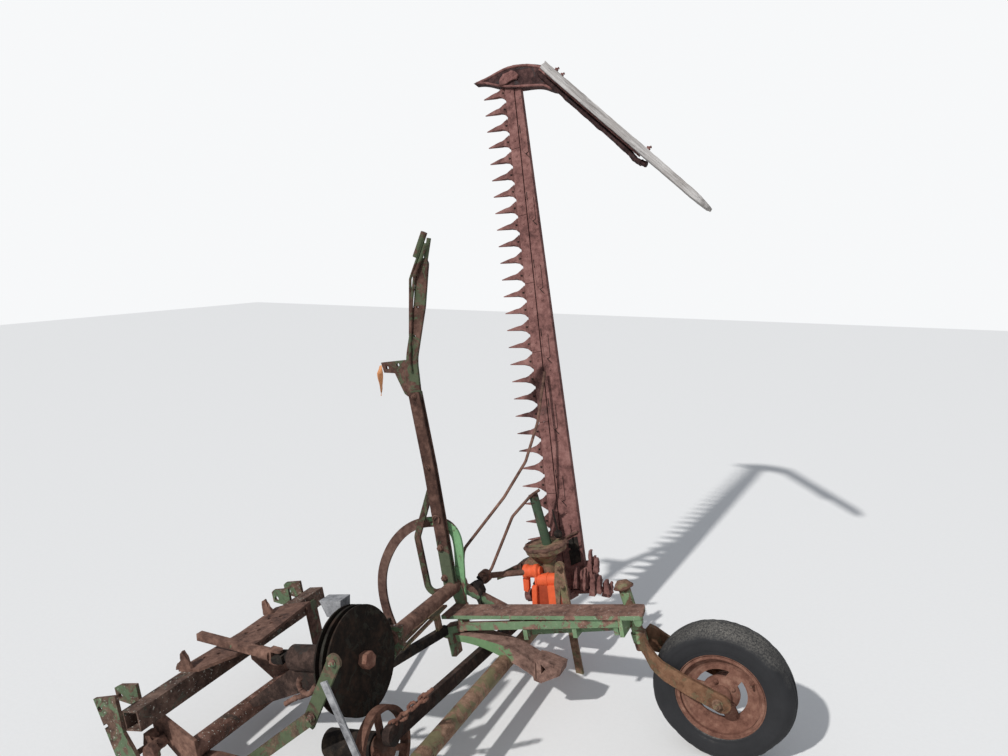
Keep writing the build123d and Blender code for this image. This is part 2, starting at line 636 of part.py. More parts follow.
def lift_lever():
    shaft = rod((rock_x, rock_left, rock_z), (rock_x, rock_right, rock_z), rock_radius)
    save("rockshaft", shaft)
    lower = [(rock_x - 6, rock_z), (-214, 620), (-206, 900), (-206, 1190)]
    straps = []
    for side in (-1, 1):
        offset = side * (lever_strap + lever_gap) / 2
        points = [(x, lever_y + offset, z) for x, z in lower]
        straps.append(bent_bar(points, 400, lever_strap, lever_width) - shaft)
    save("lever_lower", straps)
    grip = rod((-84, lever_y - 8, 1672), (-30, lever_y - 8, 1750), 12) + rod((-61, lever_y, 1630), (-20, lever_y, 1727), 8)
    latch = bent_rod([(-36, lever_y - 10, 1726), (-124, lever_y - 10, 1600), (-172, lever_y - 10, 1400),
                      (-170, lever_y, 1330)], 20, 5)
    upper = bent_bar([(-207, lever_y, 1160), (-192, lever_y, 1312), (-112, lever_y, 1500), (-66, lever_y, 1642)],
                     200, lever_gap, 46) + disc_y(-66, lever_y, 1642, 23, lever_gap)
    for x, z in ((-121, 1496), (-157, 1395)):
        upper -= disc_y(x, lever_y, z, 4.5, 30)
    lug = plate_xz([(-326, 1320), (-199, 1313), (-205, 1200), (-219, 1184), (-237, 1178), (-249, 1190),
                    (-274, 1272), (-321, 1281)], lever_y, lever_gap)
    for x, z in ((-303, 1297), (-254, 1301)):
        lug -= disc_y(x, lever_y, z, 7, 30)
    save("lever_upper", upper + lug + grip + latch - straps[0] - straps[1])
    link = bent_bar([(-212, lever_y, 840), (-326, lever_y, 636), (-324, lever_y, 404), (rock_x, lever_y, rock_z - 4)],
                    34, lever_gap - 0.4, 24)
    save("lift_link", link - shaft)


def fold_yoke():
    barrel = disc_x(0, hinge_y, hinge_z, yoke_barrel_radius, 2 * yoke_half_length)
    legs = Part()
    for x in (-38, 38):
        legs += beam((x, hinge_y - 6, hinge_z), (x, hinge_y - 66, rear_pipe_z - 10), 16, 30)
    base = Pos(40, -262, rear_pipe_z - 4) * Box(200, 36, 56)
    web = plate_xz([(-32, hinge_z), (32, hinge_z), (46, rear_pipe_z), (-46, rear_pipe_z)], -252, 10)
    bore = disc_x(0, hinge_y, hinge_z, hinge_pin_radius + hinge_fit, 400)
    lifter = disc_x(43, lift_barrel_y, lift_barrel_z, 26, 98)
    second = disc_x(-20, lift_barrel_y + 6, lift_barrel_z + 34, 19, 74)
    for x in (6, 78):
        legs += plate_xz([(x - 12, lift_barrel_z), (x + 12, lift_barrel_z), (x + 4, hinge_z - 40), (x - 20, hinge_z - 40)],
                         lift_barrel_y, 18)
    save("fold_yoke", barrel + legs + base + web + lifter + second - bore)
    foot = beam((118, -276, 400), (118, -276, -80), 12, 30) + disc_y(118, -276, 400, 19, 12)
    foot += beam((112, -276, 400), (66, -276, rear_pipe_z + 20), 12, 26)
    foot -= disc_y(118, -276, 400, 8, 30) + finished["fold_yoke"]
    save("yoke_foot", foot - below_floor)
    profile = make_face(Polyline((0, -32), (26, -32), (28, 24), (44, 52), (82, 72), (86, 92), (70, 98), (0, 98),
                                 close=True))
    cup = Pos(cup_x, cup_y, cup_z) * Rot(90, 0, 0) * revolve(profile, Axis.Y, 360)
    save("lift_cup", cup - finished["fold_yoke"])
    save("lift_tube", pipe((cup_x + 8, cup_y, cup_z + 92), (24, hinge_y - 4, 664), 19, 4) - cup - finished["trip_rod"])
    push_rod = rod((-180, -338, 392), (-20, lift_barrel_y + 6, lift_barrel_z + 34), 12) - second
    save("push_rod", push_rod + disc_y(-186, -344, 392, 26, 30))


below_floor = Rot(0, nose_down, 0) * Pos(0, 0, -500 - floor_drop) * Box(6000, 6000, 1000)

bar_nodes = ("guards", "bar_plate", "knife", "hold_downs", "inner_shoe", "outer_shoe",
             "grass_board", "board_strap")

# the wheel's hub height that puts its tyre on the floor under the nose-down mower
tilt = math.radians(nose_down)
wheel_z = (wheel_radius - floor_drop - wheel_x * math.sin(tilt)) / math.cos(tilt)

cutter_bar()
shoes_and_board()
hitch()
lower_frame()
drive()
crank()
beams()
caster()
quadrant()
small_ironwork()
lift_lever()
fold_yoke()

for name in bar_nodes:
    finished[name] = fold_up(finished[name])

parked = {name: Rot(0, -nose_down, 0) * shape for name, shape in finished.items()}
whole = Compound(list(parked.values())).bounding_box()
shift = Pos(-whole.center().X, -whole.center().Y, -whole.min.Z)
for name, shape in parked.items():
    export_step(shift * shape, "parts/" + name + ".step")
print("size", whole.size, "shift", shift.position, "wheel_z", wheel_z)
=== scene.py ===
import bpy, bmesh, math
from mathutils import Matrix, Vector, noise
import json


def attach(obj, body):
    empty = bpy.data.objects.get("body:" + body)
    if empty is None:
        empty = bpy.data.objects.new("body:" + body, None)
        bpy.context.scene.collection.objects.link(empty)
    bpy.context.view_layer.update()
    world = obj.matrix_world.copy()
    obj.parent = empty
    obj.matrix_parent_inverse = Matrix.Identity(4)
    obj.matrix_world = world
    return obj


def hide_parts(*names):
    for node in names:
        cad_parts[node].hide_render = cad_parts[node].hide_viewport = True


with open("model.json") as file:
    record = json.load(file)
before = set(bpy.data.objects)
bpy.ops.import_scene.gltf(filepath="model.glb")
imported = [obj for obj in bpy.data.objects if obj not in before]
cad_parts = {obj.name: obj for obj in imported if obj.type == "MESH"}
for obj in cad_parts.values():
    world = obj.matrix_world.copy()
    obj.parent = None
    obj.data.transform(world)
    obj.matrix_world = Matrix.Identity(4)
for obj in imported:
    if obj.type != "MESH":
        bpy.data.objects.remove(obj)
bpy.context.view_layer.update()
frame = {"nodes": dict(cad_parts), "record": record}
nodes = frame["nodes"]
print("frame loaded:", len(nodes), "nodes")
noise.seed_set(3)  # without it noise_vector differs on every run

# The mower is drawn level in millimetres, then tipped nose down to where it is parked.
parking = {"noseDown": 12.0, "shiftX": 68.2181, "shiftY": 567.105, "shiftZ": 17.5,
           "foldAngle": 78.9, "hingeY": -190.0, "hingeZ": 250.0}
parked = (Matrix.Translation((parking["shiftX"] / 1000, parking["shiftY"] / 1000, parking["shiftZ"] / 1000))
          @ Matrix.Rotation(-math.radians(parking["noseDown"]), 4, "Y") @ Matrix.Scale(0.001, 4))
folded = (parked @ Matrix.Translation((0, parking["hingeY"], parking["hingeZ"]))
          @ Matrix.Rotation(math.radians(parking["foldAngle"]), 4, "X"))  # the cutter bar's own frame
wayX, wayY, wayZ = (1, 0, 0), (0, 1, 0), (0, 0, 1)

camera = {"place": (1.0962981, -2.360485, 1.6675), "tilt": 80.3, "turn": 25.03, "lens": 27.14}
cam = bpy.data.objects.new("camera", bpy.data.cameras.new("camera"))
cam.data.lens = camera["lens"]
cam.location = camera["place"]
cam.rotation_euler = (math.radians(camera["tilt"]), 0, math.radians(camera["turn"]))
bpy.context.collection.objects.link(cam)
bpy.context.scene.camera = cam
bpy.context.scene.view_settings.view_transform = "Standard"


# Shader helpers. A value that is a socket is wired, any other is set as the plain value.
def feed(tree, socket, value):
    if isinstance(value, bpy.types.NodeSocket):
        tree.links.new(value, socket)
    else:
        socket.default_value = (*value, 1) if isinstance(value, tuple) else value


def addNode(tree, kind, values=None, **links):
    node = tree.nodes.new(kind)
    for key, value in (values or {}).items():
        if hasattr(node, key):
            setattr(node, key, value)
        else:
            node.inputs[key].default_value = value
    for key, source in links.items():
        tree.links.new(source, node.inputs[0 if key == "first" else key])
    return node


def ramp(tree, factor, stops):
    node = addNode(tree, "ShaderNodeValToRGB", first=factor)
    bar = node.color_ramp.elements
    while len(bar) < len(stops):
        bar.new(0.5)
    for element, (place, tone) in zip(bar, stops):
        element.position = place
        element.color = (*tone, 1) if isinstance(tone, tuple) else (tone, tone, tone, 1)
    return node.outputs["Color"]


def mixColour(tree, factor, a, b):
    node = addNode(tree, "ShaderNodeMix", {"data_type": "RGBA"})
    for socket, value in ((node.inputs[0], factor), (node.inputs[6], a), (node.inputs[7], b)):
        feed(tree, socket, value)
    return node.outputs[2]


def maths(tree, operation, a, b):
    node = addNode(tree, "ShaderNodeMath", {"operation": operation})
    for socket, value in zip(node.inputs, (a, b)):
        feed(tree, socket, value)
    return node.outputs[0]


def shares(tree, a, shareA, b, shareB):
    return maths(tree, "ADD", maths(tree, "MULTIPLY", a, shareA), maths(tree, "MULTIPLY", b, shareB))


def noiseOf(tree, coord, scale, detail, rough, warp=0.0):
    values = {"Scale": scale, "Detail": detail, "Roughness": rough, "Distortion": warp}
    return addNode(tree, "ShaderNodeTexNoise", values, Vector=coord).outputs["Fac"]


# How far the surface looks up, from 0 to 1.
def faceUp(tree):
    normal = addNode(tree, "ShaderNodeNewGeometry").outputs["Normal"]
    return maths(tree, "MAXIMUM", addNode(tree, "ShaderNodeSeparateXYZ", first=normal).outputs["Z"], 0.0)


def scaledTone(tone, gain):
    return tuple(min(1, c * gain) for c in tone)


def startMaterial(name, shine=0.22):
    material = bpy.data.materials.new(name)
    material.use_nodes = True
    tree = material.node_tree
    shader = tree.nodes["Principled BSDF"]
    shader.inputs["Specular IOR Level"].default_value = shine
    coord = addNode(tree, "ShaderNodeTexCoord").outputs["Object"]
    return material, tree, shader, coord


def finishMaterial(tree, shader, colour, roughness, height, depth):
    tree.links.new(colour, shader.inputs["Base Color"])
    tree.links.new(roughness, shader.inputs["Roughness"])
    bump = addNode(tree, "ShaderNodeBump", {"Strength": 1.0, "Distance": depth}, Height=height)
    tree.links.new(bump.outputs["Normal"], shader.inputs["Normal"])


# Old steel: rust in three tones, and what is left of the paint, thinner where the face looks up.
# "greener" is a direction, an offset and a gain: more paint is left that way along the piece.
metals = {
    "rust_frame": {"rust": [(0.036, 0.020, 0.016), (0.125, 0.067, 0.049), (0.24, 0.135, 0.098)],
        "paint": (0.14, 0.20, 0.11), "paintLeft": 0.33, "topWear": 0.10, "flecks": 0.20},
    "faded_green": {"rust": [(0.054, 0.029, 0.023), (0.165, 0.090, 0.068), (0.28, 0.165, 0.124)],
        "paint": (0.145, 0.235, 0.128), "paintLeft": 0.55, "topWear": 0.34, "flecks": 0.25, "lichen": 0.5},
    "worn_green": {"rust": [(0.036, 0.020, 0.015), (0.108, 0.064, 0.046), (0.20, 0.130, 0.092)],
        "paint": (0.092, 0.142, 0.075), "paintLeft": 0.50, "topWear": 0.25, "flecks": 0.30, "lichen": 0.6},
    "bar_rust": {"rust": [(0.058, 0.026, 0.023), (0.170, 0.078, 0.068), (0.27, 0.140, 0.122)],
        "paint": (0.108, 0.052, 0.045), "paintLeft": 0.36, "flecks": 0.30},
    "dark_grease": {"rust": [(0.005, 0.004, 0.004), (0.016, 0.012, 0.010), (0.060, 0.042, 0.030)],
        "paint": (0.022, 0.019, 0.013), "paintLeft": 0.44, "topWear": 0.1, "flecks": 0.08},
    "hub_rust": {"rust": [(0.090, 0.038, 0.026), (0.170, 0.080, 0.056), (0.27, 0.150, 0.105)],
        "paint": (0.26, 0.165, 0.115), "paintLeft": 0.36, "flecks": 0.18},
    "olive_rust": {"rust": [(0.055, 0.032, 0.021), (0.190, 0.110, 0.072), (0.32, 0.200, 0.135)],
        "paint": (0.160, 0.142, 0.074), "paintLeft": 0.47, "flecks": 0.40},
    "bare_steel": {"rust": [(0.10, 0.10, 0.105), (0.24, 0.24, 0.245), (0.40, 0.40, 0.40)],
        "paint": (0.30, 0.30, 0.31), "paintLeft": 0.40, "flecks": 0.10},
    "bow_green": {"rust": [(0.032, 0.017, 0.014), (0.090, 0.048, 0.037), (0.165, 0.100, 0.076)],
        "paint": (0.200, 0.400, 0.195), "paintLeft": 0.50, "topWear": 0.15, "flecks": 0.20,
        "greener": ((1.0, 0.0, 0.10), 0.27, 1.3)},
    "curved_green": {"rust": [(0.060, 0.033, 0.026), (0.200, 0.118, 0.092), (0.33, 0.205, 0.160)],
        "paint": (0.140, 0.255, 0.120), "paintLeft": 0.50, "topWear": 0.34, "flecks": 0.25,
        "greener": ((-1.0, 0.0, 0.0), 0.03, 1.5)},
    # Lever tone: the lever's own dark rust, also given to the right foot as painted shade.
    "lever_rust_and_shade": {"rust": [(0.020, 0.010, 0.008), (0.068, 0.034, 0.025), (0.150, 0.082, 0.062)],
        "paint": (0.068, 0.088, 0.046), "paintLeft": 0.48, "flecks": 0.20},
    "shoe_rust": {"rust": [(0.010, 0.005, 0.005), (0.036, 0.017, 0.016), (0.105, 0.052, 0.046)],
        "paint": (0.020, 0.010, 0.010), "paintLeft": 0.46, "flecks": 0.20},
    "arm_green": {"rust": [(0.040, 0.026, 0.018), (0.105, 0.072, 0.048), (0.19, 0.135, 0.090)],
        "paint": (0.072, 0.098, 0.050), "paintLeft": 0.54, "topWear": 0.20, "flecks": 0.25},
    "tube_green": {"rust": [(0.060, 0.034, 0.024), (0.160, 0.092, 0.062), (0.25, 0.155, 0.110)],
        "paint": (0.185, 0.290, 0.150), "paintLeft": 0.54, "topWear": 0.10, "flecks": 0.30, "lichen": 0.5},
    "fork_rust": {"rust": [(0.052, 0.025, 0.014), (0.145, 0.072, 0.040), (0.22, 0.120, 0.070)],
        "paint": (0.125, 0.088, 0.046), "paintLeft": 0.45, "flecks": 0.30},
    "tube_lichen": {"rust": [(0.030, 0.018, 0.014), (0.090, 0.054, 0.041), (0.19, 0.120, 0.090)],
        "paint": (0.080, 0.085, 0.062), "paintLeft": 0.42, "flecks": 0.20, "lichen": 0.9},
    # Sheave tone: the face's own dark oily iron, darkened further as painted shade.
    "sheave_dark_and_shade": {"rust": [(0.004, 0.003, 0.002), (0.014, 0.009, 0.006), (0.040, 0.022, 0.014)],
        "paint": (0.017, 0.015, 0.009), "paintLeft": 0.45, "flecks": 0.06},
    "oily_iron": {"rust": [(0.012, 0.007, 0.006), (0.038, 0.023, 0.018), (0.098, 0.060, 0.047)],
        "paint": (0.024, 0.018, 0.014), "paintLeft": 0.42, "flecks": 0.30},
    "pipe_lichen": {"rust": [(0.040, 0.020, 0.015), (0.120, 0.062, 0.045), (0.24, 0.130, 0.098)],
        "paint": (0.060, 0.045, 0.035), "paintLeft": 0.40, "flecks": 0.30, "lichen": 1.0},
    "lever_foot": {"rust": [(0.020, 0.010, 0.008), (0.068, 0.034, 0.025), (0.150, 0.082, 0.062)],
        "paint": (0.078, 0.098, 0.058), "paintLeft": 0.44, "flecks": 0.20,
        "greener": ((0.0, 0.0, -1.0), 0.60, 1.5)},
    "wheel_rust": {"rust": [(0.045, 0.021, 0.014), (0.120, 0.058, 0.040), (0.21, 0.115, 0.080)],
        "paint": (0.085, 0.046, 0.032), "paintLeft": 0.44, "flecks": 0.20},
    "tube_shade": {"rust": [(0.026, 0.015, 0.012), (0.080, 0.045, 0.034), (0.15, 0.092, 0.070)],
        "paint": (0.046, 0.078, 0.044), "paintLeft": 0.57, "flecks": 0.15},
    "shade_orange": {"rust": [(0.050, 0.022, 0.014), (0.120, 0.042, 0.026), (0.20, 0.08, 0.05)],
        "paint": (0.36, 0.055, 0.022), "paintLeft": 0.66, "flecks": 0.10},
    "sunned_tape": {"rust": [(0.42, 0.17, 0.06), (0.60, 0.26, 0.11), (0.74, 0.38, 0.20)],
        "paint": (0.68, 0.30, 0.13), "paintLeft": 0.50, "flecks": 0.10},
    "orange_paint": {"rust": [(0.060, 0.030, 0.020), (0.170, 0.075, 0.045), (0.30, 0.14, 0.09)],
        "paint": (0.80, 0.120, 0.040), "paintLeft": 0.76, "topWear": 0.16, "flecks": 0.15},
}

# What all the steel shares. Noises are scale, detail, roughness and warp; stops are ramp place and value.
steel = {"broad": (7.0, 8, 0.68, 0.4), "middle": (38.0, 8, 0.70), "fine": (260.0, 5, 0.65),
         "patches": (16.0, 9, 0.72, 0.8), "spots": (120.0, 3, 0.6), "broadShare": 0.45, "middleShare": 0.55,
         "rustTurns": (0.38, 0.50, 0.63), "fleckFrom": 0.58, "fleckTo": 0.74, "fleckGain": 1.6, "fleckPale": 1.8,
         "even": 0.5, "greenMost": 0.30, "greenLeast": -0.22, "paintStops": [(0.475, 0.0), (0.525, 1.0)],
         "paintDark": 0.62, "paintPale": 1.30, "paintShare": 0.92, "spotFrom": 0.645, "spotTo": 0.675,
         "spotTone": (0.50, 0.48, 0.41), "rustRough": (0.92, 0.92, 0.92), "paintRough": (0.58, 0.58, 0.58),
         "paintHigh": 0.35, "fineHigh": 0.5, "depth": 0.0011}


def agedMetal(name, look):
    material, tree, shader, coord = startMaterial(name)
    broad, middle, fine = [noiseOf(tree, coord, *steel[size]) for size in ("broad", "middle", "fine")]
    tone = shares(tree, broad, steel["broadShare"], middle, steel["middleShare"])
    rust = ramp(tree, tone, list(zip(steel["rustTurns"], look["rust"])))
    flecks = ramp(tree, fine, [(steel["fleckFrom"], 0.0), (steel["fleckTo"], look["flecks"] * steel["fleckGain"])])
    rust = mixColour(tree, flecks, rust, scaledTone(look["rust"][2], steel["fleckPale"]))
    wear = maths(tree, "MULTIPLY", faceUp(tree), look.get("topWear", 0.0))
    cover = maths(tree, "ADD", noiseOf(tree, coord, *steel["patches"]), look["paintLeft"] - steel["even"])
    cover = maths(tree, "SUBTRACT", cover, wear)
    if "greener" in look:
        towards, start, gain = look["greener"]
        along = addNode(tree, "ShaderNodeVectorMath", {"operation": "DOT_PRODUCT"}, first=coord)
        along.inputs[1].default_value = towards
        shift = maths(tree, "MULTIPLY", maths(tree, "ADD", along.outputs["Value"], start), gain)
        shift = maths(tree, "MAXIMUM", maths(tree, "MINIMUM", shift, steel["greenMost"]), steel["greenLeast"])
        cover = maths(tree, "ADD", cover, shift)
    mask = ramp(tree, cover, steel["paintStops"])
    darkPaint, palePaint = [scaledTone(look["paint"], steel[gain]) for gain in ("paintDark", "paintPale")]
    paint = mixColour(tree, middle, darkPaint, palePaint)
    colour = mixColour(tree, maths(tree, "MULTIPLY", mask, steel["paintShare"]), rust, paint)
    if "lichen" in look:
        stops = [(steel["spotFrom"], 0.0), (steel["spotTo"], look["lichen"])]
        spots = ramp(tree, noiseOf(tree, coord, *steel["spots"]), stops)
        colour = mixColour(tree, spots, colour, steel["spotTone"])
    roughness = mixColour(tree, mask, steel["rustRough"], steel["paintRough"])
    painted = maths(tree, "MULTIPLY", mask, steel["paintHigh"])
    grit = maths(tree, "ADD", maths(tree, "MULTIPLY", fine, steel["fineHigh"]), middle)
    finishMaterial(tree, shader, colour, roughness, maths(tree, "ADD", painted, grit), steel["depth"])
    return material


def weatheredWood(name, look):
    material, tree, shader, coord = startMaterial(name)
    turned = addNode(tree, "ShaderNodeMapping", {"Rotation": look["grain"]}, Vector=coord).outputs["Vector"]
    stretched = addNode(tree, "ShaderNodeMapping", {"Scale": look["stretch"]}, Vector=turned).outputs["Vector"]
    grain = noiseOf(tree, stretched, *look["grainNoise"])
    streak = noiseOf(tree, stretched, *look["streakNoise"])
    blotch = noiseOf(tree, coord, *look["blotchNoise"])
    colour = ramp(tree, grain, look["tones"])
    cracks = ramp(tree, streak, look["crackStops"])
    colour = mixColour(tree, cracks, colour, look["crack"])
    colour = mixColour(tree, ramp(tree, blotch, look["stainStops"]), colour, look["stain"])
    height = maths(tree, "ADD", grain, maths(tree, "MULTIPLY", streak, look["streakHigh"]))
    height = maths(tree, "SUBTRACT", height, cracks)
    finishMaterial(tree, shader, colour, ramp(tree, grain, look["roughStops"]), height, look["depth"])
    return material


def dustyRubber(name, look):
    material, tree, shader, coord = startMaterial(name)
    broad = noiseOf(tree, coord, *look["broadNoise"])
    fine = noiseOf(tree, coord, *look["fineNoise"])
    settled = shares(tree, faceUp(tree), look["upShare"], broad, look["broadShare"])
    dust = maths(tree, "MULTIPLY", ramp(tree, settled, look["dustStops"]), ramp(tree, fine, look["gritStops"]))
    colour = mixColour(tree, dust, mixColour(tree, broad, look["dark"], look["mid"]), look["dust"])
    roughness = ramp(tree, dust, look["roughStops"])
    finishMaterial(tree, shader, colour, roughness, maths(tree, "ADD", fine, broad), look["depth"])
    return material


wood = {"tones": [(0.30, (0.15, 0.135, 0.125)), (0.47, (0.33, 0.310, 0.295)), (0.66, (0.52, 0.50, 0.48))],
        "crack": (0.045, 0.038, 0.034), "crackStops": [(0.30, 1.0), (0.40, 0.0)], "stain": (0.17, 0.14, 0.12),
        "stainStops": [(0.45, 0.0), (0.75, 0.45)], "roughStops": [(0.0, 0.96), (1.0, 0.80)],
        "stretch": (1.6, 34.0, 34.0), "grainNoise": (2.6, 9, 0.72, 0.6), "streakNoise": (7.0, 6, 0.8),
        "blotchNoise": (9.0, 5, 0.6), "streakHigh": 0.5, "depth": 0.0016, "boardAngle": 52.0}
boardTurn = Matrix.Rotation(-math.radians(wood["boardAngle"]), 3, "Z")
boardAlong = (folded.to_3x3() @ boardTurn @ Vector(wayX)).normalized()
wood["grain"] = boardAlong.rotation_difference(Vector(wayX)).to_euler()
rubber = {"dark": (0.013, 0.013, 0.014), "mid": (0.029, 0.029, 0.031), "dust": (0.21, 0.195, 0.17),
          "broadNoise": (11.0, 7, 0.7), "fineNoise": (190.0, 6, 0.7), "upShare": 0.55, "broadShare": 0.45,
          "dustStops": [(0.40, 0.0), (0.86, 1.0)], "gritStops": [(0.42, 0.08), (0.60, 1.0)],
          "roughStops": [(0.0, 0.72), (1.0, 0.95)], "depth": 0.0007}

finishes = {name: agedMetal(name, look) for name, look in metals.items()}
finishes["old_wood"] = weatheredWood("old_wood", wood)
finishes["tyre_rubber"] = dustyRubber("tyre_rubber", rubber)
slotOf = {piece["node"]: piece["material_slot"] for piece in frame["record"]["subparts"]}


def shadeSmooth(mesh, sharpAngle):
    mesh.polygons.foreach_set("use_smooth", [True] * len(mesh.polygons))
    mesh.set_sharp_from_angle(angle=math.radians(sharpAngle))


# Nodes with their own tone of the slot that the record gives them. The sheave's face and the right foot get tones that
# are partly painted shade.
variants = {"quadrant_bow": "bow_green", "lever_upper": "lever_rust_and_shade", "lever_lower": "lever_foot",
            "outer_shoe": "shoe_rust", "tension_arm": "arm_green", "caster_tube": "tube_green",
            "caster_stem": "wheel_rust", "fork_left": "fork_rust", "fork_right": "fork_rust",
            "hitch_tube": "tube_lichen", "front_pipe": "pipe_lichen", "flywheel": "wheel_rust",
            # The right foot takes the dark lever tone as painted shade.
            "lift_tube": "tube_shade", "foot_right": "lever_rust_and_shade", "lift_link": "lever_rust_and_shade",
            "curved_arm": "curved_green", "housing_post": "bare_steel", "sheave": "sheave_dark_and_shade",
            "pitman": "oily_iron", "drive_housing": "oily_iron"}
softening = {"round": 0.0013, "angle": 32.0, "segments": 2}
for name, node in nodes.items():
    shadeSmooth(node.data, softening["angle"])
    soften = node.modifiers.new("soften", "BEVEL")
    soften.width, soften.segments, soften.limit_method = softening["round"], softening["segments"], "ANGLE"
    soften.angle_limit, soften.harden_normals = math.radians(softening["angle"]), True
    for place in node.material_slots:
        place.material = finishes[variants.get(name, slotOf[name])]
print("finishes done")


# Mesh tools. Forms are drawn in millimetres in the level frame, or in the cutter bar's own, and placed in metres.
def ringOf(bm, centre, side, other, radius, count):
    turns = [2 * math.pi * k / count for k in range(count)]
    return [bm.verts.new(centre + (side * math.cos(t) + other * math.sin(t)) * radius) for t in turns]


# Joins neighbouring rings; a ring of one vertex closes to a point.
def skin(bm, rings, segments):
    for low, high in zip(rings, rings[1:]):
        for k in range(segments):
            corners = [low[k % len(low)], low[(k + 1) % len(low)], high[(k + 1) % len(high)], high[k % len(high)]]
            corners = list(dict.fromkeys(corners))
            if len(corners) > 2:
                bm.faces.new(corners)


# Turned form: the profile is pairs of radius and distance along the axis.
def lathe(bm, centre, axis, profile, segments):
    axis = Vector(axis).normalized()
    side = axis.orthogonal().normalized()
    other = axis.cross(side)
    rings = []
    for radius, along in profile:
        count = 1 if radius < 1e-6 else segments
        rings.append(ringOf(bm, Vector(centre) + axis * along, side, other, radius, count))
    skin(bm, rings, segments)
    return rings


# Rod on a smooth curve through the points, with its ends closed; ripple makes its thickness uneven.
def sweep(bm, points, radius, segments, steps, ripple, rippleScale=0.35):
    line = [Vector(point) for point in points]
    path = []
    for k in range(len(line) - 1):
        before, a, b, after = line[max(k - 1, 0)], line[k], line[k + 1], line[min(k + 2, len(line) - 1)]
        for step in range(steps):
            t = step / steps
            path.append(0.5 * ((2 * a) + (b - before) * t + (2 * before - 5 * a + 4 * b - after) * t * t
                               + (3 * a - before - 3 * b + after) * t ** 3))
    path.append(line[-1])
    side = (path[1] - path[0]).orthogonal().normalized()
    rings = []
    for k, place in enumerate(path):
        ahead = (path[min(k + 1, len(path) - 1)] - path[max(k - 1, 0)]).normalized()
        side = (side - ahead * side.dot(ahead)).normalized()
        size = radius * (1 + ripple * noise.noise(place * rippleScale))
        rings.append(ringOf(bm, place, side, ahead.cross(side), size, segments))
    skin(bm, rings, segments)
    bm.faces.new(reversed(rings[0]))
    bm.faces.new(rings[-1])


# Plate with the outline on a plane of its own, half its thickness to each side.
def slab(bm, outline, thickness, origin, right, up, bevel):
    right, up = Vector(right).normalized(), Vector(up).normalized()
    out = right.cross(up)
    low, high = [[bm.verts.new(Vector(origin) + right * x + up * y + out * (thickness * side)) for x, y in outline]
                 for side in (-0.5, 0.5)]
    count = len(outline)
    faces = [bm.faces.new(reversed(low)), bm.faces.new(high)]
    for k in range(count):
        faces.append(bm.faces.new((low[k], low[(k + 1) % count], high[(k + 1) % count], high[k])))
    if bevel:
        rims = list(dict.fromkeys(edge for face in faces for edge in face.edges))
        bmesh.ops.bevel(bm, geom=rims, offset=bevel, segments=2, affect="EDGES", profile=0.6, clamp_overlap=True)


# An outline in x and z standing at y, and an outline in x and y lying at z.
def upright(bm, outline, y, thickness, bevel):
    slab(bm, outline, thickness, (0, y, 0), wayX, wayZ, bevel)


def lying(bm, outline, z, thickness, bevel):
    slab(bm, outline, thickness, (0, 0, z), wayX, wayY, bevel)


def bolt(bm, centre, axis, across, stickOut):
    size = across / 2
    top = across * 0.62 + stickOut
    washer = [(size * 1.35, 0), (size * 1.35, 1.6), (size * 1.2, 2.2), (size * 0.9, 2.2)]
    nut = [(size * 1.15, 2.2), (size * 1.15, across * 0.52), (size * 0.98, across * 0.62), (size * 0.5, across * 0.64)]
    thread = [(size * 0.52, across * 0.55), (size * 0.52, top - 1.5), (size * 0.40, top), (0, top + 0.4)]
    for profile, segments in ((washer, 20), (nut, 6), (thread, 14)):
        lathe(bm, centre, axis, profile, segments)


def rivet(bm, centre, axis, radius):
    profile = [(radius, -0.5), (radius, 0.6), (radius * 0.82, radius * 0.38), (radius * 0.45, radius * 0.58),
               (0, radius * 0.64)]
    lathe(bm, centre, axis, profile, segments=12)


def rough(bm, amount, scale, verts=None):
    for vert in verts or bm.verts:
        vert.co += noise.noise_vector(vert.co * scale) * amount


# Cuts the faces finer and roughens them twice, to look cast and worn.
def batter(bm, coarse, fine):
    bmesh.ops.triangulate(bm, faces=bm.faces)
    bmesh.ops.subdivide_edges(bm, edges=bm.edges, cuts=1, use_grid_fill=True)
    rough(bm, *coarse)
    rough(bm, *fine)


def newPiece(name, bm, place, body, slotName, sharp=38, finish=None):
    bm.transform(place)
    bmesh.ops.recalc_face_normals(bm, faces=bm.faces)
    mesh = bpy.data.meshes.new(name)
    bm.to_mesh(mesh)
    bm.free()
    shadeSmooth(mesh, sharp)
    mesh.materials.append(finishes[finish or slotName])
    piece = bpy.data.objects.new(name, mesh)
    bpy.context.collection.objects.link(piece)
    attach(piece, body)
    return piece


# The worn tyre: rim beads, ringed walls, shoulders with shallow notches and three worn grooves round its middle.
# A dent is an angle, a depth as a share of the radius and a width in degrees; the first one is a bulge.
wheel = {"centre": (736.0, -530.0, 59.783), "segments": 96, "wallFoot": 156, "wallHigh": 73,
         "dents": ((-4.0, -0.022, 24.0), (-38.0, 0.024, 13.0), (-128.0, 0.020, 14.0), (172.0, 0.006, 20.0)),
         "shoulder": (210, 225), "notches": 38, "notchFrom": 0.55, "notchDepth": 1.6, "wave": 1.3, "waveScale": 0.012,
         "half": [(140.5, 50.0), (145.5, 56.0), (150.0, 59.6), (154.0, 58.4), (158.0, 60.6), (170.0, 63.0),
                  (184.0, 64.0), (190.0, 63.4), (193.0, 64.4), (202.0, 62.0), (211.0, 56.6), (219.0, 48.0),
                  (224.5, 38.0), (226.6, 30.4), (224.2, 28.4), (227.2, 26.2), (229.0, 11.6), (226.2, 9.8)]}
bm = bmesh.new()
outline = [(r, -y) for r, y in wheel["half"]] + [(r, y) for r, y in reversed(wheel["half"])]
middle = Vector(wheel["centre"])
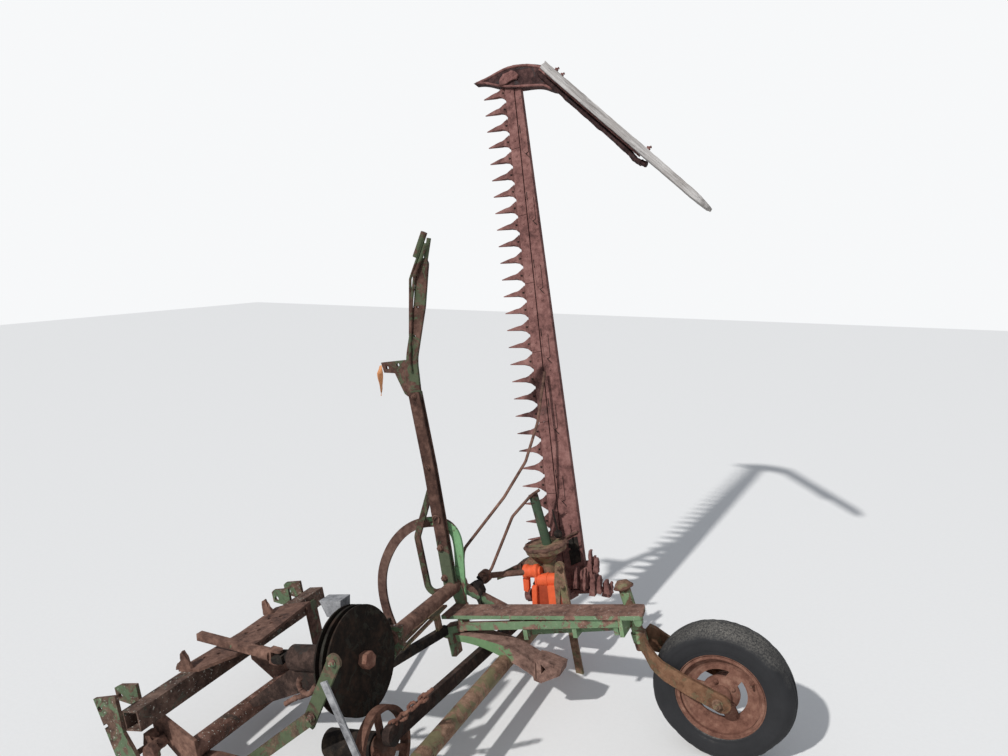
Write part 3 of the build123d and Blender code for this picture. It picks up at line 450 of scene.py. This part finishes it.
for (reachOut, _), ring in zip(outline, lathe(bm, middle, wayY, outline, wheel["segments"])):
    share = max(0.0, (reachOut - wheel["wallFoot"]) / wheel["wallHigh"])
    onShoulder = wheel["shoulder"][0] < reachOut < wheel["shoulder"][1]
    for vert in ring:
        spoke = vert.co - middle
        radial = Vector((spoke.x, 0, spoke.z))
        around = math.degrees(math.atan2(spoke.z, spoke.x)) + parking["noseDown"]
        change = 0.0
        for at, deep, wide in wheel["dents"]:
            apart = (around - at + 180) % 360 - 180
            change -= deep * math.exp(-(apart / wide) ** 2)
        vert.co += radial * change * share
        if onShoulder and math.sin(math.radians(around) * wheel["notches"]) > wheel["notchFrom"]:
            vert.co -= radial.normalized() * wheel["notchDepth"]
        vert.co += noise.noise_vector(vert.co * wheel["waveScale"]) * wheel["wave"] * share
tyre = newPiece("wornTyre", bm, parked, "wheel", "tyre_rubber", sharp=60)
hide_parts("tyre")

# Rim: a rolled lip on both sides, the step inside it, five lug bolts, a domed hub and the valve.
rimLook = {"lip": [(133.0, -44.0), (139.0, -50.0), (143.6, -56.5), (146.0, -55.0), (145.6, -50.0)],
           "step": [(131.0, -42.0), (124.0, -40.0), (120.5, -34.0), (116.0, -30.5), (104.0, -29.4), (103.0, -28.6)],
           "flange": [(59.0, -28.6), (56.0, -33.0), (50.0, -36.0), (38.0, -37.0), (35.0, -39.0)],
           "hub": [(35.0, -38.0), (36.0, -49.0), (33.5, -56.0), (27.0, -60.5), (18.0, -62.5), (11.0, -63.0)],
           "back": [(35.0, 45.0), (34.0, 55.0), (26.0, 60.0), (11.0, 61.5)], "lipSegments": 72, "hubSegments": 48,
           "bolts": 5, "boltTurn": 28, "boltRing": 47.0, "boltSeat": 35.5, "boltSize": 15.0, "boltOut": 3,
           "valve": [(112, -28, 40), (107, -38, 38), (104, -54, 37)], "valveRadius": 4.2}
bm = bmesh.new()
for part, side in (("lip", 1), ("lip", -1), ("step", 1)):
    lathe(bm, middle, (0, side, 0), rimLook[part], rimLook["lipSegments"])
for part in ("flange", "hub", "back"):
    lathe(bm, middle, wayY, rimLook[part], rimLook["hubSegments"])
for k in range(rimLook["bolts"]):
    turn = math.radians(360 / rimLook["bolts"] * k + rimLook["boltTurn"])
    spoke = Vector((math.cos(turn), 0, math.sin(turn))) * rimLook["boltRing"]
    bolt(bm, middle + spoke - Vector((0, rimLook["boltSeat"], 0)), (0, -1, 0), rimLook["boltSize"], rimLook["boltOut"])
valve = [middle + Vector(point) for point in rimLook["valve"]]
sweep(bm, valve, rimLook["valveRadius"], segments=10, steps=4, ripple=0.1)
newPiece("rimDetail", bm, parked, "wheel", "hub_rust")

# Fork ends: a washer and a worn nut on each side, and the ragged cap that has spread over the caster tube.
fork = {"side": 98.0, "nut": 26.0, "nutOut": 5, "capFoot": (460.0, -530.0, 412.0), "tubeFoot": (486.0, -530.0, 222.0),
        "cap": [(24.5, 1.5), (27.0, 0.0), (30.5, 5.0), (30.0, 12.0), (26.0, 19.0), (19.0, 25.0), (12.0, 27.0),
                (0, 26.0)], "ragged": 5.25, "raggedScale": 0.055}
bm = bmesh.new()
for side in (-1, 1):
    bolt(bm, middle + Vector((0, side * fork["side"], 0)), (0, side, 0), fork["nut"], fork["nutOut"])
tubeUp = (Vector(fork["capFoot"]) - Vector(fork["tubeFoot"])).normalized()
capRings = lathe(bm, fork["capFoot"], tubeUp, fork["cap"], segments=36)
rough(bm, fork["ragged"], fork["raggedScale"], [vert for ring in capRings for vert in ring])
newPiece("forkFittings", bm, parked, "caster", "olive_rust")

# The grass board: a split grey plank, thinner and chewed at its free end. Cuts are along, through and over it.
# A taper is a steady share, the tip's share, where along the plank the tip begins and over how much. Grain, edge
# and chew are noises, given as scales and depth.
board = {"start": (219.0, 2244.4, -71.0), "length": 1002.0, "skip": 34.0, "thick": 36.0, "wide": 140.0,
         "cuts": (96, 5, 12), "thinning": (0.20, 0.42, 0.90, 0.10), "narrowing": (0.06, 0.45, 0.93, 0.07),
         "grain": (((0.004, 0.10, 0.11), 2.2), ((0.012, 0.4, 0.45), 1.3)), "edge": (0.03, 7.0, 0.02, 1.6),
         "chew": (0.06, 0.09, 3.0, 8), "grainThrough": 0.8, "grainOver": 1.2}
boardFrame = Matrix.Translation(board["start"]) @ Matrix.Rotation(-math.radians(wood["boardAngle"]), 4, "Z")


def tapered(size, t, steady, tip, tipFrom, tipOver):
    return size * (1.0 - steady * t - tip * max(0.0, (t - tipFrom) / tipOver) ** 2)


def stepFrom(spot, *ways):
    return tuple(value + (way in ways) for way, value in enumerate(spot))


bm = bmesh.new()
cuts = board["cuts"]
grid = {}
for i in range(cuts[0] + 1):
    t = i / cuts[0]
    thick = tapered(board["thick"], t, *board["thinning"])
    wide = tapered(board["wide"], t, *board["narrowing"])
    x = board["skip"] + (board["length"] - board["skip"]) * t
    for j in range(cuts[1] + 1):
        y = (j / cuts[1] - 0.5) * thick
        for k in range(cuts[2] + 1):
            if 0 < i < cuts[0] and 0 < j < cuts[1] and 0 < k < cuts[2]:
                continue
            z = (k / cuts[2] - 0.5) * wide
            grain = sum(noise.noise(Vector((x * a, y * b, z * c))) * deep for (a, b, c), deep in board["grain"])
            alongX, level, alongZ, deep = board["edge"]
            edge = noise.noise(Vector((x * alongX, level, z * alongZ))) * deep
            alongZ, alongY, level, deep = board["chew"]
            chew = deep * noise.noise(Vector((z * alongZ, y * alongY, level))) if i in (0, cuts[0]) else 0.0
            bulge = (grain + edge) * (1 if y >= 0 else -1) * board["grainThrough"]
            grid[i, j, k] = bm.verts.new((x + chew, y + bulge, z + grain * board["grainOver"]))
for spot, corner in grid.items():
    for a, b, fixed in ((0, 1, 2), (0, 2, 1), (1, 2, 0)):
        if spot[a] < cuts[a] and spot[b] < cuts[b] and spot[fixed] in (0, cuts[fixed]):
            bm.faces.new([corner, grid[stepFrom(spot, a)], grid[stepFrom(spot, a, b)], grid[stepFrom(spot, b)]])
plank = newPiece("greyPlank", bm, folded @ boardFrame, "cutter_bar", "old_wood", sharp=50)
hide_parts("grass_board")

# Board bolts: three bolts through the plank, each on a worn shank and with a bent wire across it.
boardBolt = {"spots": ((76.0, 22.0), (88.0, -18.0), (640.0, 10.0)), "seat": 17.0, "lean": (0.05, 1, 0.04),
             "across": 15.0, "stickOut": 5.0, "shank": [(0, 14, 0), (1, 26, 0), (4, 35, 2)], "shankRadius": 4.0,
             "wire": [(-12, 25, -4), (0, 29, 0), (11, 31, 6)], "wireRadius": 2.6}
bm = bmesh.new()
for x, z in boardBolt["spots"]:
    shank, wire = [[(x + dx, y, z + dz) for dx, y, dz in boardBolt[part]] for part in ("shank", "wire")]
    sweep(bm, shank, boardBolt["shankRadius"], segments=8, steps=4, ripple=0.2)
    bolt(bm, (x, boardBolt["seat"], z), boardBolt["lean"], boardBolt["across"], boardBolt["stickOut"])
    sweep(bm, wire, boardBolt["wireRadius"], segments=6, steps=4, ripple=0.4)
newPiece("boardBolts", bm, folded @ boardFrame, "cutter_bar", "bar_rust")

# Cutter bar: a rivet on each guard, one on the bar's back at every second guard and two on each wear plate.
bar = {"pitch": 76.2, "first": 137.0, "count": 28, "z": -91.0, "lean": 13.0, "end": 2240.4,
       "guardX": 27.0, "guardUp": 7.0, "guardRadius": 5.4, "sway": 4, "swayTurn": 2.3,
       "backX": 84.0, "backTaper": 12, "backOn": 30, "backUp": 5.0, "backRadius": 6.4,
       "plateEvery": 4, "plateFirst": 3, "plateOn": 0.52, "plateSpots": ((70.0, -22), (72.0, 18)), "plateUp": 8.0,
       "plateRadius": 4.8}
leanFrame = folded @ Matrix.Rotation(-math.atan2(bar["lean"], bar["end"]), 4, "Z")
bm = bmesh.new()
for k in range(bar["count"]):
    y = bar["first"] + bar["pitch"] * k
    sway = bar["sway"] * math.sin(k * bar["swayTurn"])
    rivet(bm, (bar["guardX"], y + sway, bar["z"] + bar["guardUp"]), wayZ, bar["guardRadius"])
    if k % 2 == 0:
        backX = bar["backX"] - bar["backTaper"] * k / bar["count"]
        rivet(bm, (backX, y + bar["backOn"], bar["z"] + bar["backUp"]), wayZ, bar["backRadius"])
for k in range(bar["plateFirst"], bar["count"], bar["plateEvery"]):
    y = bar["first"] + bar["pitch"] * (k + bar["plateOn"])
    for x, onward in bar["plateSpots"]:
        rivet(bm, (x, y + onward, bar["z"] + bar["plateUp"]), wayZ, bar["plateRadius"])
newPiece("barRivets", bm, leanFrame, "cutter_bar", "bar_rust")

# Painted shadow: thin dark strips for the shaded gap round each wear plate and two cracks beyond it, and dark discs for
# the shaded hole at each guard's root.
seamShadows = {"round": [(60.0, 67.6), (60.0, -20.4), (72.0, -36.4), (86.0, -30.4), (86.0, 67.6)],
         "cracks": [((56.0, 97.6), (56.0, 63.6)), ((72.0, -36.4), (90.0, -58.4))], "wide": 2.4, "deep": 2.6,
         "z": -84.6, "first": 4, "back": 0.5, "holeX": -9.0, "holeZ": -83.6, "hole": 4.4}
bm = bmesh.new()
for k in range(seamShadows["first"], bar["count"], bar["plateEvery"]):
    start = bar["first"] + bar["pitch"] * (k - seamShadows["back"])
    for (x0, y0), (x1, y1) in [*zip(seamShadows["round"], seamShadows["round"][1:]), *seamShadows["cracks"]]:
        way = Vector((x1 - x0, y1 - y0, 0))
        long, wide = way.length / 2, seamShadows["wide"] / 2
        centre = ((x0 + x1) / 2, start + (y0 + y1) / 2, seamShadows["z"])
        slab(bm, [(-long, -wide), (long, -wide), (long, wide), (-long, wide)], seamShadows["deep"], centre, way,
             Vector(wayZ).cross(way), bevel=0)
for k in range(bar["count"]):
    rivet(bm, (seamShadows["holeX"], bar["first"] + bar["pitch"] * k, seamShadows["holeZ"]), wayZ, seamShadows["hole"])
newPiece("barSeamShadows", bm, leanFrame, "cutter_bar", "dark_grease")

# Outer shoe: rolled lips along its runner and keel, and the broken casting that holds the bar's end to it.
shoe = {"lipZ": -72.5, "headZ": -70, "headThick": 18, "rivetZ": -62, "rivetRadius": 6.5,
        "runner": [(-118, 2274), (-65, 2278), (0, 2290), (50, 2294), (100, 2287), (157, 2270), (214, 2240)],
        "keel": [(264, 2131), (238, 2140), (198, 2166), (90, 2196), (0, 2226), (-60, 2257), (-112, 2274)],
        "head": [(2, 2222), (0, 2242), (12, 2256), (26, 2270), (48, 2266), (64, 2274), (84, 2264), (98, 2244),
                 (88, 2228), (60, 2232), (36, 2222)],
        "rivets": ((24, 2250), (48, 2252), (74, 2248))}
bm = bmesh.new()
for edge, radius, ripple in (("runner", 6.5, 0.25), ("keel", 5.5, 0.35)):
    sweep(bm, [(x, y, shoe["lipZ"]) for x, y in shoe[edge]], radius, segments=10, steps=6, ripple=ripple)
newPiece("shoeLips", bm, folded, "cutter_bar", "bar_rust")
bm = bmesh.new()
lying(bm, shoe["head"], shoe["headZ"], shoe["headThick"], bevel=3.0)
batter(bm, coarse=(2.6, 0.06), fine=(1.4, 0.17))
for x, y in shoe["rivets"]:
    rivet(bm, (x, y, shoe["rivetZ"]), wayZ, shoe["rivetRadius"])
newPiece("shoeHead", bm, folded, "cutter_bar", "bar_rust", sharp=60)

# Painted shade: a thin black sheet on the bar's back where a shaded opening lies low down, and the bent latch that lies
# across its top.
latch = {"shadeSheet": [(82, 204), (104, 214), (124, 218), (128, 170), (130, 114), (104, 106), (84, 98), (80, 150)],
         "shadeSheetZ": -85, "shadeSheetThick": 3, "bentZ": -80, "bentThick": 10,
         "bent": [(56, 208), (60, 218), (92, 232), (122, 246), (132, 242), (128, 232), (96, 222), (66, 206)]}
bm = bmesh.new()
lying(bm, latch["shadeSheet"], latch["shadeSheetZ"], latch["shadeSheetThick"], bevel=0.5)
newPiece("latchShadeSheet", bm, folded, "cutter_bar", "dark_grease")
bm = bmesh.new()
lying(bm, latch["bent"], latch["bentZ"], latch["bentThick"], bevel=1.5)
rough(bm, amount=1.2, scale=0.08)
newPiece("bentLatch", bm, folded, "cutter_bar", "bar_rust", sharp=50)

# Dark half-round iron under the board, with a swollen end. Its dark finish is partly the iron's own rust and partly
# painted shade for the board's shaded underside.
iron = {"radius": 12.5, "ripple": 0.30, "tall": 1.35, "swellFrom": 590, "swellOver": 70, "swell": 5,
        "line": [(4, -34, 0), (150, -35, 2), (330, -36, -2), (500, -36, 1), (600, -37, 0), (650, -36, 2),
                 (676, -29, 2)]}
bm = bmesh.new()
sweep(bm, iron["line"], iron["radius"], segments=12, steps=8, ripple=iron["ripple"])
for vert in bm.verts:
    vert.co.z *= iron["tall"]
    if vert.co.x > iron["swellFrom"]:
        share = min(1.0, (vert.co.x - iron["swellFrom"]) / iron["swellOver"])
        vert.co.y -= iron["swell"] * math.sin(share * math.pi)
newPiece("boardIron", bm, folded @ boardFrame, "cutter_bar", "bar_rust", sharp=50, finish="shoe_rust")
print("wheel, board and bar detail done")

# Orange ribbon tied to the lever's lug, twisting as it hangs and narrowest at its knot.
ribbon = {"wide": 22.0, "long": 118.0, "cuts": (10, 40), "turnFrom": 0.4, "turnBy": 1.9, "lean": (0.10, 0.5),
          "knot": 0.42, "knotRows": 9, "curl": (1.6, 0.34, 0.3), "thick": 0.0006,
          "place": [(-330, -553, 1310), (-338, -556, 1282), (-345, -552, 1250), (-352, -548, 1222), (-358, -550, 1196)]}
bm = bmesh.new()
across, down = ribbon["cuts"]
line = [Vector(point) for point in ribbon["place"]]
rows = []
for i in range(down + 1):
    t = i / down * (len(line) - 1)
    k = min(int(t), len(line) - 2)
    spot = line[k].lerp(line[k + 1], t - k)
    turn = ribbon["turnFrom"] + ribbon["turnBy"] * i / down
    lean = Vector((math.cos(turn), math.sin(turn), ribbon["lean"][0] * math.sin(i * ribbon["lean"][1])))
    width = ribbon["wide"] * (ribbon["knot"] + (1 - ribbon["knot"]) * min(1.0, i / ribbon["knotRows"]))
    deep, perRow, perCut = ribbon["curl"]
    curls = [Vector((0, deep * math.sin(i * perRow + j * perCut), 0)) for j in range(across + 1)]
    rows.append([bm.verts.new(spot + lean * width * (j / across - 0.5) + curl) for j, curl in enumerate(curls)])
for low, high in zip(rows, rows[1:]):
    for j in range(across):
        bm.faces.new((low[j], low[j + 1], high[j + 1], high[j]))
tape = newPiece("orangeRibbon", bm, parked, "lift_lever", "orange_paint", finish="sunned_tape")
thicken = tape.modifiers.new("thicken", "SOLIDIFY")
thicken.thickness = ribbon["thick"]

# Chain left on the pitman: flattened links, every other one turned, half swallowed by grease.
chain = {"from": Vector((-92, -1196, 246)), "to": Vector((82, -1196, 366)), "links": 8, "radius": 4.6,
         "above": 22, "sag": 3, "sagTurn": 2.1, "wide": 9, "reach": 0.72,
         "turns": (0.0, 0.8, 1.6, 2.4, 3.14, 3.9, 4.7, 5.5, 6.28)}
bm = bmesh.new()
step = (chain["to"] - chain["from"]) / chain["links"]
up = Vector(wayY).cross(step).normalized() * -1
for k in range(chain["links"]):
    start = chain["from"] + step * k + up * (chain["above"] + chain["sag"] * math.sin(k * chain["sagTurn"]))
    wideWay = (Vector(wayY) if k % 2 else up) * chain["wide"]
    loop = [start + step * (0.5 + chain["reach"] * math.cos(a)) + wideWay * math.sin(a) for a in chain["turns"]]
    sweep(bm, loop, chain["radius"], segments=8, steps=3, ripple=0.5)
rough(bm, amount=1.1, scale=0.09)
newPiece("pitmanChain", bm, parked, "root", "hub_rust")

# Loose hooks and rods, one row each: body, slot, finish, radius and the line they are bent to.
wires = [("lift_lever", "rust_frame", "lever_rust_and_shade", 7.0, [(-104, -562, 1604), (-66, -562, 1655), (-27, -562, 1708)]),
         ("lift_lever", "rust_frame", "lever_rust_and_shade", 5.5,
          [(-100, -560, 1612), (-132, -560, 1525), (-163, -560, 1419), (-190, -560, 1319), (-197, -560, 1268)]),
         ("root", "rust_frame", None, 8.0, [(-222, -1302, 461), (-262, -1300, 432), (-295, -1300, 414),
                                            (-318, -1300, 424), (-322, -1300, 448), (-312, -1300, 463)]),
         ("root", "rust_frame", None, 8.0, [(-262, -1296, 440), (-300, -1292, 410), (-352, -1296, 396),
                                            (-392, -1300, 378)]),
         ("root", "rust_frame", None, 9.0, [(-800, -1398, 318), (-850, -1425, 300), (-905, -1460, 270),
                                            (-950, -1490, 262)]),
         ("root", "dark_grease", None, 5.0, [(-176, -420, 420), (-168, -405, 396), (-176, -398, 362),
                                             (-190, -402, 330)]),
         ("root", "rust_frame", None, 5.0, [(106, -152, 471), (132, -150, 482), (164, -150, 494)]),
         ("root", "dark_grease", None, 3.2, [(93, -178, 496), (90, -176, 540), (84, -170, 600)]),
         ("lift_lever", "rust_frame", None, 2.6, [(-226, -566, 702), (-222, -574, 716), (-210, -574, 722),
                                                  (-200, -568, 712), (-206, -566, 690)])]
for k, (body, slotName, finish, radius, points) in enumerate(wires):
    bm = bmesh.new()
    sweep(bm, points, radius, segments=10, steps=6, ripple=0.35)
    newPiece(f"wire{k + 1}", bm, parked, body, slotName, finish=finish)

# Worn keeper plates by the hinge: thin upright irons eaten to ragged edges, each a top, foot, width, depth and y.
keeperLook = {"cuts": 9, "ragged": 0.75, "apart": 7.3, "scale": 6.5, "otherSide": 2.0, "footWide": 1.15,
              "narrowing": 0.55}
keepers = [((206, 416), (192, 330), 15, 24, -150), ((212, 384), (196, 300), 13, 20, -132),
           ((172, 344), (150, 250), 12, 22, -152), ((190, 366), (162, 300), 14, 20, -140),
           ((226, 380), (212, 322), 20, 20, -146), ((206, 318), (190, 252), 15, 24, -152),
           ((226, 306), (212, 236), 16, 26, -150), ((250, 290), (246, 234), 22, 22, -148),
           ((262, 272), (252, 226), 14, 18, -128), ((124, 340), (106, 252), 14, 20, -128),
           ((140, 322), (128, 238), 12, 18, -120), ((184, 286), (172, 216), 22, 30, -122),
           ((232, 262), (222, 206), 30, 22, -112)]
for k, (top, foot, wide, deep, y) in enumerate(keepers):
    bm = bmesh.new()
    top, foot = Vector((*top, 0)), Vector((*foot, 0))
    side = (top - foot).normalized().cross(Vector(wayZ)) * wide / 2
    outline = []
    for sign in (1, -1):
        for i in range(keeperLook["cuts"] + 1):
            t = i / keeperLook["cuts"] if sign > 0 else 1 - i / keeperLook["cuts"]
            spot = Vector((k * keeperLook["apart"], t * keeperLook["scale"], sign * keeperLook["otherSide"]))
            ragged = 1 + keeperLook["ragged"] * noise.noise(spot)
            out = side * sign * ragged * (keeperLook["footWide"] - keeperLook["narrowing"] * t)
            corner = foot.lerp(top, t) + out
            outline.append((corner.x, corner.y))
    upright(bm, outline, y, deep, bevel=1.2)
    rough(bm, amount=2.2, scale=0.07)
    newPiece(f"keeper{k + 1}", bm, parked, "cutter_bar", "bar_rust", sharp=50)

# Square end of the rear beam with its lug, and the rough flange below the stem's cap.
beamTip = {"end": [(462, -636.5), (534, -636.5), (540, -626), (532, -560), (524, -538), (486, -536)], "endZ": 351,
           "endThick": 15, "lugY": -622, "lugThick": 22,
           "lug": [(512, 322), (506, 340), (514, 350), (530, 352), (538, 340), (534, 324), (522, 318)]}
flange = {"centre": (460, -530, 414), "axis": (-0.1356, 0, 0.9908),
          "profile": [(21, -1), (33, 0), (35.5, 3), (31, 8), (24, 12)]}
bm = bmesh.new()
lying(bm, beamTip["end"], beamTip["endZ"], beamTip["endThick"], bevel=2.0)
upright(bm, beamTip["lug"], beamTip["lugY"], beamTip["lugThick"], bevel=3.0)
rough(bm, amount=1.6, scale=0.07)
newPiece("beamEnd", bm, parked, "root", "faded_green", sharp=45)
bm = bmesh.new()
lathe(bm, flange["centre"], flange["axis"], flange["profile"], segments=28)
rough(bm, amount=2.6, scale=0.06)
newPiece("capFlange", bm, parked, "caster", "olive_rust", sharp=50, finish="wheel_rust")

# Cast lumps, each a slot, an outline, a y and a thickness: four at the hitch, the rough casting under the cup
# and a greasy one on the left of it. Then the black cap on the brace.
lumps = [("rust_frame", [(-904, 444), (-886, 468), (-868, 476), (-866, 500), (-852, 512), (-846, 490), (-832, 472),
                         (-822, 444)], -1250, 12),
         ("rust_frame", [(-914, 444), (-912, 470), (-906, 500), (-890, 508), (-884, 484), (-870, 470), (-858, 444)],
          -822, 12),
         ("rust_frame", [(-870, 300), (-856, 338), (-836, 344), (-822, 318), (-800, 322), (-790, 296), (-812, 280),
                         (-846, 276)], -1436, 34),
         ("rust_frame", [(-828, 292), (-812, 322), (-786, 330), (-768, 306), (-776, 282), (-804, 272)], -1478, 26),
         ("olive_rust", [(-75, 388), (-52, 408), (-28, 419), (4, 430), (28, 424), (40, 398), (23, 372), (-30, 362),
                         (-64, 356)], -196, 34),
         ("dark_grease", [(-190, 392), (-182, 414), (-164, 418), (-146, 400), (-138, 374), (-150, 350), (-152, 316),
                          (-160, 318), (-164, 354), (-182, 368)], -454, 40)]
for k, (slotName, outline, y, thick) in enumerate(lumps):
    bm = bmesh.new()
    upright(bm, outline, y, thick, bevel=3.0)
    batter(bm, coarse=(3.4, 0.05), fine=(1.6, 0.16))
    newPiece(f"casting{k + 1}", bm, parked, "root", slotName, sharp=60)
knob = {"centre": (93, -180, 499), "axis": (0.1, 0, 1),
        "profile": [(0, -17), (9, -15), (15.5, -8), (17, 0), (15.5, 8), (9, 15), (0, 17)]}
bm = bmesh.new()
lathe(bm, knob["centre"], knob["axis"], knob["profile"], segments=24)
rough(bm, amount=0.8, scale=0.1)
newPiece("blackKnob", bm, parked, "root", "dark_grease", sharp=70)

# Ragged rim of the cup, and the orange yoke that holds the lift barrel: two legs with a web set back between them.
cupRim = {"centre": (42, -208, 372), "ring": [(79, 90), (87, 89), (90, 95), (87, 101), (80, 103), (75, 98), (66, 97)]}
bm = bmesh.new()
lathe(bm, cupRim["centre"], wayZ, cupRim["ring"], segments=48)
rough(bm, amount=4.5, scale=0.07)
newPiece("cupRim", bm, parked, "root", "rust_frame", sharp=50)
yoke = {"left": [(-18, 322), (-36, 214), (-14, 214), (4, 322)], "right": [(50, 322), (40, 214), (72, 214), (82, 322)],
        "web": [(-12, 318), (62, 318), (56, 214), (-24, 214)], "y": -274, "legThick": 18, "webY": -262, "webThick": 8,
        "collar": [(26.2, -4.5), (28.6, -3), (28.6, 3), (26.2, 4.5)], "collarX": (-2, 44, 88), "collarYZ": (-246, 334)}
bm = bmesh.new()
for part in ("left", "right"):
    upright(bm, yoke[part], yoke["y"], yoke["legThick"], bevel=2.5)
for x in yoke["collarX"]:
    lathe(bm, (x, *yoke["collarYZ"]), wayX, yoke["collar"], segments=32)
rough(bm, amount=0.7, scale=0.06)
newPiece("liftYoke", bm, parked, "root", "orange_paint", sharp=40)
bm = bmesh.new()
upright(bm, yoke["web"], yoke["webY"], yoke["webThick"], bevel=1.0)
rough(bm, amount=0.7, scale=0.06)
newPiece("liftWeb", bm, parked, "root", "orange_paint", sharp=40, finish="shade_orange")

# Second orange casting, left of the first, with the ribbed iron block and its dark link behind the cup.
lug = {"centre": (-20, -240, 368),
       "spool": [(18.5, -40), (29, -37), (30, -22), (25, -16), (25, 4), (29, 9), (29, 24), (18.5, 30)],
       "tail": [(-68, 344), (-40, 352), (-48, 300), (-58, 284), (-74, 290)], "tailY": -240, "tailThick": 20}
bm = bmesh.new()
lathe(bm, lug["centre"], wayX, lug["spool"], segments=28)
upright(bm, lug["tail"], lug["tailY"], lug["tailThick"], bevel=2.0)
rough(bm, amount=0.8, scale=0.06)
newPiece("secondLug", bm, parked, "root", "orange_paint", sharp=40)
block = {"body": [(-110, 332), (-108, 384), (-74, 396), (-42, 406), (8, 397), (2, 338)], "bodyY": -166, "bodyThick": 60,
         "ribX": (-92, -62, -32), "ribFoot": 342, "ribTop": (386, 388), "ribRise": 0.2, "ribY": -200, "ribThick": 12,
         "link": [(-226, 310), (-222, 334), (-150, 362), (-100, 380), (-96, 356), (-160, 330)], "linkY": -172,
         "linkThick": 24}
bm = bmesh.new()
upright(bm, block["body"], block["bodyY"], block["bodyThick"], bevel=4.0)
for x in block["ribX"]:
    left, right = [top + (x - block["ribX"][0]) * block["ribRise"] for top in block["ribTop"]]
    rib = [(x - 4, block["ribFoot"]), (x - 3, left), (x + 5, right), (x + 4, block["ribFoot"])]
    upright(bm, rib, block["ribY"], block["ribThick"], bevel=1.0)
upright(bm, block["link"], block["linkY"], block["linkThick"], bevel=2.0)
rough(bm, amount=1.4, scale=0.07)
newPiece("ribbedBlock", bm, parked, "root", "rust_frame", sharp=45, finish="lever_rust_and_shade")

# Bolts and nuts, all facing the picture's side: body, slot, place and size across flats.
fasteners = [("root", "olive_rust", (118, -291, 400), 20), ("root", "olive_rust", (118, -291, 322), 14),
             ("lift_lever", "rust_frame", (-224, -561, 592), 20), ("lift_lever", "rust_frame", (-232, -561, 474), 20),
             ("root", "faded_green", (-142, -1337, 535), 16), ("root", "faded_green", (-262, -1340, 366), 20),
             ("root", "hub_rust", (-130, -1246, 205), 24), ("root", "rust_frame", (-912, -1514, 250), 22),
             ("lift_lever", "rust_frame", (-206, -561, 905), 16), ("lift_lever", "rust_frame", (-206, -561, 1176), 16),
             ("root", "rust_frame", (-186, -359, 392), 22)]
for k, (body, slotName, place, size) in enumerate(fasteners):
    bm = bmesh.new()
    bolt(bm, place, (0, -1, 0), size, stickOut=6)
    newPiece(f"bolt{k + 1}", bm, parked, body, slotName)
print("ribbon, chain, wires, castings and bolts done")

floorLook = {"reach": 16.0, "drop": 0.0005, "tone": (0.80, 0.79, 0.77), "speckle": (60.0, 4, 0.7), "speckleDark": 0.94,
             "roughStops": [(0.0, 0.9), (1.0, 0.98)], "depth": 0.0004}
floorMesh = bpy.data.meshes.new("floor")
corners = [(x * floorLook["reach"], y * floorLook["reach"], 0) for x, y in ((-1, -1), (1, -1), (1, 1), (-1, 1))]
floorMesh.from_pydata(corners, [], [(0, 1, 2, 3)])
floor = bpy.data.objects.new("floor", floorMesh)
floor.location.z = -floorLook["drop"]
bpy.context.collection.objects.link(floor)
floorMaterial, tree, shader, coord = startMaterial("paleFloor")
speckle = noiseOf(tree, coord, *floorLook["speckle"])
floorTone = mixColour(tree, speckle, scaledTone(floorLook["tone"], floorLook["speckleDark"]), floorLook["tone"])
finishMaterial(tree, shader, floorTone, ramp(tree, speckle, floorLook["roughStops"]), speckle, floorLook["depth"])
floor.data.materials.append(floorMaterial)

light = {"sunFrom": (-0.24, -0.74, 0.66), "sunPower": 3.1, "sunWide": 1.4, "fill": (2.6, -3.6, 3.4), "fillPower": 18,
         "fillSize": 3.0, "fillAim": (0, 0, 0.6), "sky": (0.84, 0.90, 1.0), "skyStrength": 0.42,
         "behind": (0.93, 0.94, 0.95)}
sun = bpy.data.objects.new("sun", bpy.data.lights.new("sun", "SUN"))
sun.data.energy, sun.data.angle = light["sunPower"], math.radians(light["sunWide"])
sun.rotation_euler = (-Vector(light["sunFrom"])).to_track_quat("-Z", "Y").to_euler()
fill = bpy.data.objects.new("fill", bpy.data.lights.new("fill", "AREA"))
fill.data.energy, fill.data.size = light["fillPower"], light["fillSize"]
fill.location = light["fill"]
fill.rotation_euler = (Vector(light["fillAim"]) - Vector(light["fill"])).to_track_quat("-Z", "Y").to_euler()
for lamp in (sun, fill):
    bpy.context.collection.objects.link(lamp)
world = bpy.data.worlds.new("sky")
bpy.context.scene.world = world
world.use_nodes = True
seen = addNode(world.node_tree, "ShaderNodeLightPath").outputs["Is Camera Ray"]
tone = mixColour(world.node_tree, seen, scaledTone(light["sky"], light["skyStrength"]), light["behind"])
world.node_tree.links.new(tone, world.node_tree.nodes["Background"].inputs["Color"])
print("floor and lights done")
